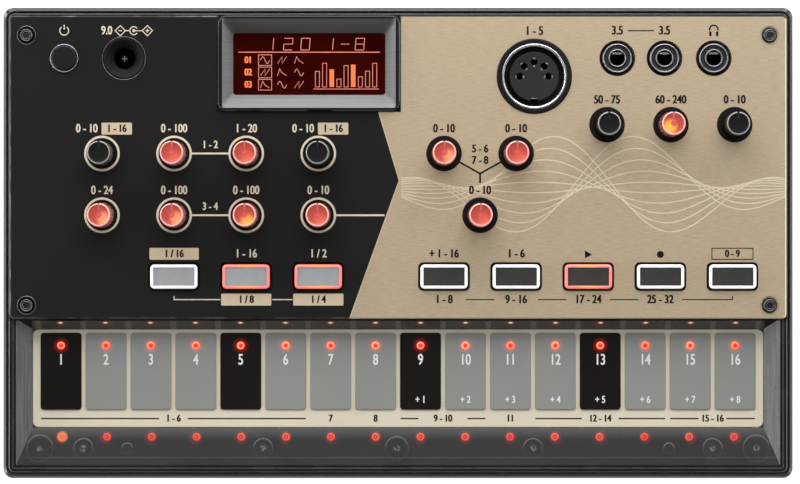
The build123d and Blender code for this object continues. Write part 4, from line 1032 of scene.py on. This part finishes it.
def place_caps(looks, build, sharp=None):
    """Caps in the place of CAD nodes. Those of one look share their mesh data."""
    shapes = {}
    for name, look in looks.items():
        if look not in shapes:
            shapes[look] = solid(look + "_cap", build(), look)
            if sharp:
                shapes[look].set_sharp_from_angle(angle=radians(sharp))
        cap = bpy.data.objects.new(name.replace("_knob", "") + "_cap", shapes[look])
        x, y = middle(name)
        cap.location = (x, y, 0.0)
        bpy.context.scene.collection.objects.link(cap)
        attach(cap, name)
        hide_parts(name)


print("knob rings:", len(KNOB_PROFILE))

# %% [markdown]
# The lit knobs are clear red plastic with a lamp underneath. The top is coral
# with a pink spot where the lamp stands and a warmer pool on one side, both
# painted light of the lamp, a pale rim that is a painted highlight, and ribbed
# sides of a dull pinkish brown that darken towards the panel as painted shade.
# Each knob's origin is on its axis, so distance from that axis and height are
# all the material needs. The painted warm pool differs from lamp to lamp, so it
# has a direction and a share.

# %% Knob finishes
RIM_FOOT = 2.42 * MM
RIM_EDGE = 2.56 * MM
TOP_Z = PANEL_Z + 9.2 * MM


def lit_knob_finish(name, warm, warm_share, toward):
    """Clear red plastic over a lamp, with the lamp's light painted in: a faint emission and a warmer pool on
    the side that a direction points to.
    """
    tree, shader = material(name)
    x, y, z = tree.place()
    radius = tree.reach(x, y)
    # Painted light of the lamp: a pink spot in the middle, and a warmer pool on one side.
    core = tree.tones(radius, 0.1 * MM, 1.0 * MM, (214, 80, 86), (172, 68, 58))
    from_warm = tree.reach(tree.minus(x, toward[0] * MM), tree.minus(y, toward[1] * MM))
    painted_lamp_pool = tree.times(tree.fade(from_warm, 2.3 * MM, 0.5 * MM), tree.fade(radius, 0.4 * MM, 1.0 * MM))
    core = tree.mix(tree.times(painted_lamp_pool, warm_share), core, warm)
    # Painted highlight: the pale rim.
    face = tree.tones(radius, RIM_FOOT, RIM_EDGE, core, (240, 160, 150))
    ribs = tree.noise(1500.0, vector=tree.flat(x, y))
    deep = tree.tones(ribs, 0.4, 0.6, (112, 58, 52), (186, 122, 112))
    # Painted shade: the sides darken towards the panel.
    deep = tree.tones(z, PANEL_Z + 3.0 * MM, PANEL_Z, deep, (60, 34, 32))
    colour = tree.tones(z, TOP_Z + 0.15 * MM, TOP_Z, face, deep)
    shader["Base Color"] = colour
    shader["Emission Color"] = colour
    shader["Emission Strength"] = 0.22
    shader["Roughness"] = 0.22
    shader["Coat Weight"] = 0.4
    shader["Coat Roughness"] = 0.08
    shader["Normal"] = tree.bump(tree.use(moulded_grain, Fineness=2600.0)["Height"], 0.003 * MM)


def dark_knob_finish(name):
    """Satin black plastic whose rim has a painted highlight."""
    tree, shader = material(name)
    x, y, z = tree.place()
    radius = tree.reach(x, y)
    rim = tree.fade(radius, RIM_FOOT, RIM_EDGE)
    speckle = tree.use(moulded_grain, Fineness=2600.0, Patches=300.0)
    face = tree.tones(speckle["Sheen"], 0.4, 0.6, (11, 11, 12), (16, 15, 16))
    # Painted highlight on the rim.
    rim_painted_highlight = tree.tones(radius, 2.7 * MM, 2.84 * MM, (150, 149, 147), (40, 40, 40))
    face = tree.mix(rim, face, rim_painted_highlight)
    shader["Base Color"] = tree.tones(z, TOP_Z + 0.15 * MM, TOP_Z, face, (14, 14, 15))
    shader["Roughness"] = tree.fade(rim, 0.0, 1.0, 0.45, 0.2)
    shader["Specular IOR Level"] = 0.22
    shader["Normal"] = tree.bump(speckle["Height"], 0.003 * MM)


lit_knob_finish("red_knob", (236, 108, 84), 0.5, (0.6, -1.2))
lit_knob_finish("warm_knob", (246, 150, 104), 0.9, (1.2, -0.8))
lit_knob_finish("amber_knob", (252, 160, 70), 1.0, (0.7, -1.4))
lit_knob_finish("hot_knob", (255, 176, 66), 1.0, (-0.9, -0.7))
dark_knob_finish("dark_knob")
knob_looks = {name: "red_knob" for name in sorted(dark_knobs + lit_knobs)}
knob_looks.update({name: "dark_knob" for name in dark_knobs})
knob_looks.update({"pitch_knob": "warm_knob", "attack_knob": "warm_knob", "decay_knob": "warm_knob",
                   "release_knob": "amber_knob", "tempo_knob": "hot_knob"})
place_caps(knob_looks, knob_mesh)
print("lit knobs:", len(lit_knobs), "dark knobs:", len(dark_knobs))

# %% [markdown]
# ## Keys
#
# A key is a milky rounded bar with a flat printed plate in its face. The bar
# lets light through, so the rim glows while the plate stays opaque. Boxes with
# rounded corners, stacked as rings, make the soft bevel.

# %% Key mesh
KEY_LENGTH, KEY_WIDTH, KEY_CORNER = 11.75, 6.15, 1.15
KEY_RIM = 0.86                 # the width of the milky rim round the plate
# The key's sides below the skirt get painted shade.
KEY_SKIRT = 0.3                # how far below its top a key goes dark
KEY_RISE = (top("play_key") - PANEL_Z) / MM
KEY_PROFILE = [(0.0, KEY_RISE + 2.4), (0.0, 0.75), (0.06, 0.5), (0.18, KEY_SKIRT), (0.3, 0.1), (0.45, 0.02),
               (0.65, 0.0), (0.8, 0.03), (KEY_RIM, 0.14)]   # inset, depth below the top


def key_mesh():
    mesh = bmesh.new()
    rings = []
    for inset, depth in KEY_PROFILE:
        corner = max(KEY_CORNER - inset, 0.25)
        outline = rounded_box(0, 0, KEY_LENGTH - 2 * inset, KEY_WIDTH - 2 * inset, corner)
        rings.append([(px, py, PANEL_Z / MM + KEY_RISE - depth) for px, py in outline])
    skin(mesh, rings)
    return mesh


print("key height over the panel:", round(KEY_RISE, 2), "mm")

# %% [markdown]
# One recipe serves the clear keys and the two lit ones, and the tables of
# colours tell them apart. The distance past the plate's edge parts plate and rim.

# %% Key finishes
CLEAR = {"rim": (238, 240, 243), "glow": (255, 255, 255), "strength": 0.3, "dim": (20, 20, 20)}
LIT = {"rim": (236, 132, 130), "glow": (255, 90, 84), "strength": 0.4, "dim": (96, 22, 16),
       "hot": (255, 158, 104)}


def key_finish(name, plate, rim, glow, strength, dim, hot=None):
    """An opaque plate in a milky rim, with painted shade below the skirt, and a painted pool of the lamp's
    light if it is lit.
    """
    tree, shader = material(name)
    x, y, z = tree.place()
    far_x, far_y = tree.size(x), tree.size(y)
    beyond = tree.maths("MAXIMUM", tree.minus(far_x, (KEY_LENGTH / 2 - KEY_RIM) * MM),
                        tree.minus(far_y, (KEY_WIDTH / 2 - KEY_RIM) * MM))
    outside = tree.fade(beyond, -0.03 * MM, 0.03 * MM)
    speckle = tree.use(moulded_grain, Fineness=2500.0, Patches=200.0)
    face = tree.tones(speckle["Sheen"], 0.3, 0.7, plate, tuple(channel + 8 for channel in plate))
    face = tree.mix(tree.fade(tree.size(beyond), 0.16 * MM, 0.04 * MM, 0.0, 0.5), face, (30, 30, 31))
    shell = rim
    # Painted pool of the lamp's light in the rim of a lit key.
    if hot:
        spread = tree.times(tree.fade(far_x, 4.5 * MM, 0.5 * MM), tree.fade(far_y, 1.5 * MM, 2.6 * MM))
        shell = tree.mix(spread, rim, hot)
    # Painted shade: the key's sides below the skirt.
    skirt_z = PANEL_Z + (KEY_RISE - KEY_SKIRT) * MM
    skirt_painted_shade = tree.fade(z, skirt_z, skirt_z - 0.12 * MM)
    shader["Base Color"] = tree.mix(skirt_painted_shade, tree.mix(outside, face, shell), dim)
    shine = tree.mix(outside, (0, 0, 0), tree.mix(0.5, glow, shell))
    shader["Emission Color"] = tree.mix(skirt_painted_shade, shine, dim)
    shader["Emission Strength"] = strength
    shader["Roughness"] = 0.35
    shader["Normal"] = tree.bump(speckle["Height"], 0.004 * MM)


key_finish("grey_key", (150, 153, 157), **CLEAR)
key_finish("grey_lit_key", (152, 155, 157), **LIT)
key_finish("dark_key", (44, 44, 42), **CLEAR)
key_finish("dark_lit_key", (50, 44, 42), **LIT)
key_looks = {name: "dark_key" for name in keys}
key_looks.update({"shift_key": "grey_key", "layer_key": "grey_lit_key", "edit_key": "grey_lit_key",
                  "play_key": "dark_lit_key"})
place_caps(key_looks, key_mesh, sharp=50)
print("key caps:", len(keys))

# %% [markdown]
# ## Lamps
#
# A lamp is a small clear dome over a bright chip. Seen from above it is a hot
# ring round a deeper gap, with a core in the middle and a dim rim outside. The
# dome is a few rings of points on a sphere's cap, and the folded row distance
# from the shared effect colours it.

# %% Lamp domes
DOME_STEPS = 5
DOME_SIDES = 24
CORE_TO_GAP = 0.16 * MM, 0.3 * MM
GAP_TO_RING = 0.42 * MM, 0.6 * MM
RING_TO_RIM = 0.88 * MM, 1.02 * MM


def lamp_finish(name, row, core, gap, ring, rim, tint, strength, first_share=0.0):
    """Colours from the middle outwards. Each lamp leans its own way to a tint."""
    tree, shader = material(name)
    distance = tree.use(lamp_row, Row=row, Reach=1.0 * MM)["Distance"]
    colour = tree.tones(distance, *CORE_TO_GAP, core, gap)
    colour = tree.tones(distance, *GAP_TO_RING, colour, ring)
    colour = tree.tones(distance, *RING_TO_RIM, colour, rim)
    step = tree.maths("FLOOR", pitches(tree, tree.place()[0]))
    own = tree.node("TexWhiteNoise", {"W": step}, noise_dimensions="1D")["Value"]
    colour = tree.mix(own, colour, tint, blend="MULTIPLY")
    first = tree.maths("LESS_THAN", step, WHOLE_TURNS + 0.5 - PAD_COUNT / 2)
    colour = tree.mix(tree.times(first, first_share), colour, (255, 170, 90))
    shader["Emission Color"] = colour
    shader["Base Color"] = colour
    shader["Emission Strength"] = strength
    shader["Roughness"] = 0.2


def lamp_domes(name, node_name, radius, rise, first_size=1.0):
    """Sixteen shallow domes in the place of a row of small blocks."""
    mesh = bmesh.new()
    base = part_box(node_name)[0].z / MM
    leans = [i / DOME_STEPS * pi / 2 for i in range(DOME_STEPS)]
    for number, x in enumerate(pad_xs):
        reach = radius * (first_size if number == 0 else 1.0)
        y = spot(node_name)[1]
        skin(mesh, [circle(x / MM, y, reach * cos(lean), base + rise * sin(lean), DOME_SIDES)
                    for lean in leans])
    made = piece(name, mesh, name.replace("_domes", ""))
    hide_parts(node_name)
    return made


lamp_finish("pad_lamp", PAD_LAMP_Y, (196, 44, 34), (214, 50, 36), (255, 132, 100), (238, 60, 46),
            (250, 190, 190), 0.95)
lamp_finish("step_lamp", STEP_LAMP_Y, (240, 90, 40), (110, 8, 6), (255, 78, 40), (150, 14, 10),
            (240, 160, 190), 5.6, first_share=0.35)
lamp_domes("pad_lamp_domes", "pad_lights", 0.95, 0.35)
lamp_domes("step_lamp_domes", "step_lights", 1.0, 1.5, first_size=1.35)
print("lamps:", 2 * PAD_COUNT)

# %% [markdown]
# ## Print on the touch strip
#
# Plain numbers count the sixteen steps in white, and thin black lines under
# the pads mark the groups.

# %% Strip print
strip = Sheet(top("dark_pads") + 0.012 * MM)
caption = Sheet(top("touch_board") + 0.012 * MM)
pad_xs_mm = [x / MM for x in pad_xs]
pad_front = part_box("dark_pads")[0].y / MM
NUMBER_Y = PAD_LAMP_Y / MM - 3.55
CAPTION_Y = pad_front - 2.2
for i, x in enumerate(pad_xs_mm):
    strip.number(str(i + 1), x, NUMBER_Y, 2.6, narrow=0.72, bold=0.025)
    if i >= PAD_COUNT / 2:
        strip.number("+ " + str(i - 7), x, pad_front + 2.4, 1.7, bold=0.02)
half = PITCH / MM / 2 - 0.6
GROUPS = ((1, 6, 7.05), (9, 10, 12.0), (12, 14, 9.0), (15, 16, 6.8))   # first pad, last pad, gap in the line
for first, last, gap in GROUPS:
    left, right = pad_xs_mm[first - 1] - half, pad_xs_mm[last - 1] + half
    heart = (left + right) / 2
    caption.line([(left, CAPTION_Y), (heart - gap / 2, CAPTION_Y)], 0.32)
    caption.line([(heart + gap / 2, CAPTION_Y), (right, CAPTION_Y)], 0.32)
    caption.number(str(first) + " - " + str(last), heart, CAPTION_Y, 1.7)
for alone in (7, 8, 11):
    caption.number(str(alone), pad_xs_mm[alone - 1], CAPTION_Y, 1.7)
strip.finish("pad_numbers", "white_ink")
caption.finish("strip_captions", "dark_ink")
print("numbered pads:", PAD_COUNT)

# %% [markdown]
# ## Display
#
# The display is a dark red glass with glowing segments. A film with a faint
# glow and no gloss stands for the glass, and the marks are sheets of their own:
# digits from straight strokes, small wave signs and level bars.

# %% Display glass
glass_low, glass_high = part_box("display_glass")
screen_x, screen_y = spot("display_glass")
tree, shader = material("display_film")
grain = tree.use(moulded_grain, Fineness=1500.0, Patches=80.0)["Sheen"]
film = tree.tones(grain, 0.3, 0.7, (33, 3, 2), (41, 5, 3))
shader["Base Color"] = film
shader["Emission Color"] = film
shader["Emission Strength"] = 0.7
shader["Roughness"] = 0.3
shader["Specular IOR Level"] = 0.0
screen = Sheet(glass_high.z - 0.05 * MM)
screen.box(screen_x, screen_y, (glass_high.x - glass_low.x) / MM, (glass_high.y - glass_low.y) / MM)
screen_piece = screen.finish("display_film", "display_film")
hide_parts("display_glass")


def lit_mark(name, low, high, base, strength):
    tree, shader = material(name)
    grain = tree.use(moulded_grain, Fineness=900.0, Patches=300.0)["Sheen"]
    shader["Emission Color"] = tree.tones(grain, 0.35, 0.65, low, high)
    shader["Base Color"] = paint(*base)
    shader["Emission Strength"] = strength


lit_mark("display_segment", (226, 132, 112), (238, 152, 130), (120, 50, 40), 0.85)
lit_mark("display_block", (255, 116, 54), (255, 132, 70), (120, 50, 30), 1.0)
print("display width:", round((glass_high.x - glass_low.x) / MM, 1), "mm")

# %% [markdown]
# A digit is a choice of seven strokes, named a to g as on a data sheet, and each
# stroke leans a little to the right.

# %% Display digits
marks = Sheet(glass_high.z - 0.02 * MM)
blocks = Sheet(glass_high.z - 0.02 * MM)
STROKES = {"a": ((0, 1), (1, 1)), "b": ((1, 1), (1, 0.5)), "c": ((1, 0.5), (1, 0)), "d": ((1, 0), (0, 0)),
           "e": ((0, 0), (0, 0.5)), "f": ((0, 0.5), (0, 1)), "g": ((0, 0.5), (1, 0.5))}
DIGITS = {"1": "bc", "2": "abged", "0": "abcdef", "8": "abcdefg", "-": "g"}
DIGIT_WIDTH, DIGIT_HEIGHT = 2.1, 2.85
DIGIT_FOOT = screen_y + 3.45
LEAN = 0.08 * DIGIT_HEIGHT
SHOWN = (("1", -11.0), ("2", -6.3), ("0", -2.1), ("1", 3.6), ("-", 7.6), ("8", 11.2))  # sign and x
for text, left in SHOWN:
    for part in DIGITS[text]:
        marks.line([(screen_x + left + ax * DIGIT_WIDTH + ay * LEAN, DIGIT_FOOT + ay * DIGIT_HEIGHT)
                    for ax, ay in STROKES[part]], 0.19)
marks.line([(screen_x - 17.3, screen_y + 2.9), (screen_x + 17.3, screen_y + 2.9)], 0.24)
print("signs in the top row:", len(SHOWN))

# %% [markdown]
# Three rows of framed wave signs stand at the left, and nine level bars at the
# right, of which two are filled.

# %% Display rows and bars
SIGN = 2.2                     # the width of a wave sign
SIGNS = [[(SIGN * k / 12, 0.85 * sin(2 * pi * k / 12)) for k in range(13)],
         [(0.0, -0.8), (1.1, 0.85), (1.1, -0.8), (SIGN, 0.85)],
         [(0.0, -0.8), (0.5, 0.85), (1.1, -0.1), (SIGN, -0.8)]]
for i, row_y in enumerate((screen_y + 0.95, screen_y - 2.05, screen_y - 5.05)):
    blocks.number("0" + str(i + 1), screen_x - 14.9, row_y, 1.6)
    marks.frame(screen_x - 10.8, row_y, 3.2, 2.6, 0.17)
    for column in range(3):
        left = screen_x - 11.9 + column * 4.15
        marks.line([(left + px, row_y + py) for px, py in SIGNS[(column + i) % 3]], 0.17)
FULL_BARS = (2, 5)
BAR_FOOT = screen_y - 5.6
for i in range(9):
    level = 1.2 + 4.6 * abs(sin(0.9 * i + 0.6))
    x = screen_x + 2.0 + 1.75 * i
    if i in FULL_BARS:
        blocks.box(x, BAR_FOOT + level / 2, 1.1, level)
    else:
        marks.frame(x, BAR_FOOT + level / 2, 1.0, level, 0.16)
marks.line([(screen_x + 1.0, screen_y - 6.1), (screen_x + 17.0, screen_y - 6.1)], 0.18)
marks.finish("display_marks", "display_segment")
blocks.finish("display_blocks", "display_block")
print("wave signs:", 9)

# %% [markdown]
# ## Rings in the sockets
#
# Turned lips round the bores and shells catch the light as thin bright rings,
# and a spring contact glints in each small jack. The screws have such rings
# too, and a small cross stands for the glint on the inlet's pin. A half-round
# ring is a circle of short arcs, one ring of points per step, so one helper
# makes them all.


# %% Socket rings
def lip(mesh, cx, cy, radius, thick, z, sides=72, steps=6):
    """A half-round ring that stands on a flat face, in millimetres."""
    turns = [pi * i / steps for i in range(steps + 1)]
    skin(mesh, [circle(cx, cy, radius + thick * cos(turn), z + thick * sin(turn), sides) for turn in turns],
         close=False)


def bar(mesh, cx, cy, length, width, z, height):
    """A small upright block, in millimetres."""
    for vert in bmesh.ops.create_cube(mesh, size=1.0)["verts"]:
        px, py, pz = vert.co
        vert.co = Vector((cx + px * length, cy + py * width, z + pz * height)) * MM


panel_z, jack_z, pin_z = PANEL_Z / MM, top("jack_ferrules") / MM, top("inlet_pin") / MM
bright_lips, soft_lips, dim_lips, button_lip, springs = [bmesh.new() for made in range(5)]
for jack_x in jack_xs:
    lip(soft_lips, jack_x, socket_row, 3.36, 0.12, jack_z - 0.04)
    lip(soft_lips, jack_x, socket_row, 2.02, 0.1, jack_z)
    bar(springs, jack_x, socket_row + 1.2, 2.3, 0.45, jack_z - 1.1, 0.5)
lip(bright_lips, round_x, round_y, 7.72, 0.36, top("round_shield") / MM - 0.04)
bar(springs, round_x, round_y - 5.35, 1.5, 0.22, top("round_insert") / MM - 0.1, 0.3)
lip(dim_lips, inlet_x, socket_row, 5.24, 0.06, panel_z)
for length, width in ((1.25, 0.22), (0.22, 1.25)):
    bar(springs, inlet_x, socket_row, length, width, pin_z + 0.05, 0.1)
lip(button_lip, power_x, socket_row, 3.32, 0.13, top("power_button") / MM - 0.47)
print("faces of the small jacks:", round(jack_z, 1), "mm over the floor")

# %% [markdown]
# The rings of the panel screws are placed from the box that holds all four, and
# the left ones have a second, wider ring.

# %% Screw rings
SCREW_RADIUS = 1.9
screw_low, screw_high = (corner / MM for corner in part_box("panel_screws"))
screw_lips = bmesh.new()
for screw_x in (screw_low.x + SCREW_RADIUS, screw_high.x - SCREW_RADIUS):
    for screw_y in (screw_low.y + SCREW_RADIUS, screw_high.y - SCREW_RADIUS):
        if screw_x < 0.0:
            lip(screw_lips, screw_x, screw_y, 2.2, 0.11, panel_z)
        lip(dim_lips, screw_x, screw_y, 1.36, 0.09, screw_high.z - 0.05)
        lip(screw_lips, screw_x, screw_y, 1.02, 0.05, screw_high.z - 0.02, sides=6)
piece("screw_rings", screw_lips, "satin_lip")
piece("jack_rings", soft_lips, "soft_lip")
piece("power_ring", button_lip, "soft_lip", "power_button")
piece("bright_lips", bright_lips, "plated_metal")
piece("dim_lips", dim_lips, "satin_lip")
piece("jack_springs", springs, "plated_metal", smooth=False)
print("jacks with rings:", len(jack_xs))

# %% [markdown]
# ## Floor and light
#
# The object stands on a plain white sweep that glows a little, as a lit paper
# background does. A wide soft light hangs over the rear edge, a lower one
# stands behind, and two low strips at the sides draw bright lines on the
# bevels. Faces that lean to the rear are bright, faces that lean to the front
# stay dark, and shadows fall softly towards the viewer.

# %% Table
TABLE_GAP = 0.2 * MM           # keeps the feet from lying in the table's own plane
tree, shader = material("table_white")
cloud = tree.use(moulded_grain, Fineness=300.0, Patches=3.0)["Sheen"]
shader["Base Color"] = tree.mix(cloud, (160, 160, 161), (164, 164, 164))
shader["Emission Color"] = (1.0, 1.0, 1.0, 1.0)
shader["Emission Strength"] = 0.92
shader["Roughness"] = 0.8
mesh = bmesh.new()
bmesh.ops.create_grid(mesh, x_segments=1, y_segments=1, size=3.0)
table = bpy.data.objects.new("table", solid("table", mesh, "table_white", smooth=False))
table.location.z = -TABLE_GAP
bpy.context.scene.collection.objects.link(table)
print("table:", [round(side, 1) for side in table.dimensions[:2]], "m")


# %% [markdown]
# A soft light is a rectangle that looks at the object. Its size sets how soft
# the shadows are, and the long low ones draw the lines along the edges.


# %% Lights
def softbox(name, size, power, place_at, aim_z=0.0):
    """A soft rectangle of light that looks at the middle of the object at a height."""
    light_data = bpy.data.lights.new(name, "AREA")
    light_data.shape = "RECTANGLE"
    light_data.size, light_data.size_y = size
    light_data.energy = power
    lamp = bpy.data.objects.new(name, light_data)
    lamp.location = place_at
    lamp.rotation_euler = (Vector((0.0, 0.0, aim_z)) - Vector(place_at)).to_track_quat("-Z", "Y").to_euler()
    lamp.visible_camera = False
    bpy.context.scene.collection.objects.link(lamp)


softbox("rear_softbox", (1.6, 0.6), 16.5, (0.0, 0.95, 0.5))
softbox("rear_strip", (1.5, 0.2), 2.5, (0.0, 0.95, 0.12), aim_z=0.02)
softbox("overhead_softbox", (2.4, 1.3), 13.0, (0.0, 0.8, 1.3))
softbox("left_strip", (1.2, 0.25), 8.0, (-0.9, 0.0, 0.14), aim_z=0.02)
softbox("right_strip", (1.2, 0.25), 2.9, (0.9, 0.0, 0.14), aim_z=0.02)
softbox("front_fill", (1.2, 0.5), 0.8, (0.0, -0.9, 0.7))

# %% [markdown]
# The room itself is a pale sweep that is bright near the horizon and dim above,
# as it is round a table under studio lights. The direction's height decides.

# %% World
HORIZON_LIGHT, ZENITH_LIGHT = 0.8, 0.15
world = bpy.data.worlds.new("studio")
bpy.context.scene.world = world
world.use_nodes = True
tree = Wiring(world.node_tree)
background = Sockets(world.node_tree, world.node_tree.nodes["Background"].inputs)
rise = tree.split(tree.node("TexCoord")["Generated"])[2]
background["Color"] = (1.0, 0.985, 0.965, 1.0)
background["Strength"] = tree.fade(rise, 0.08, 0.4, HORIZON_LIGHT, ZENITH_LIGHT)
print("world nodes:", len(tree.tree.nodes))
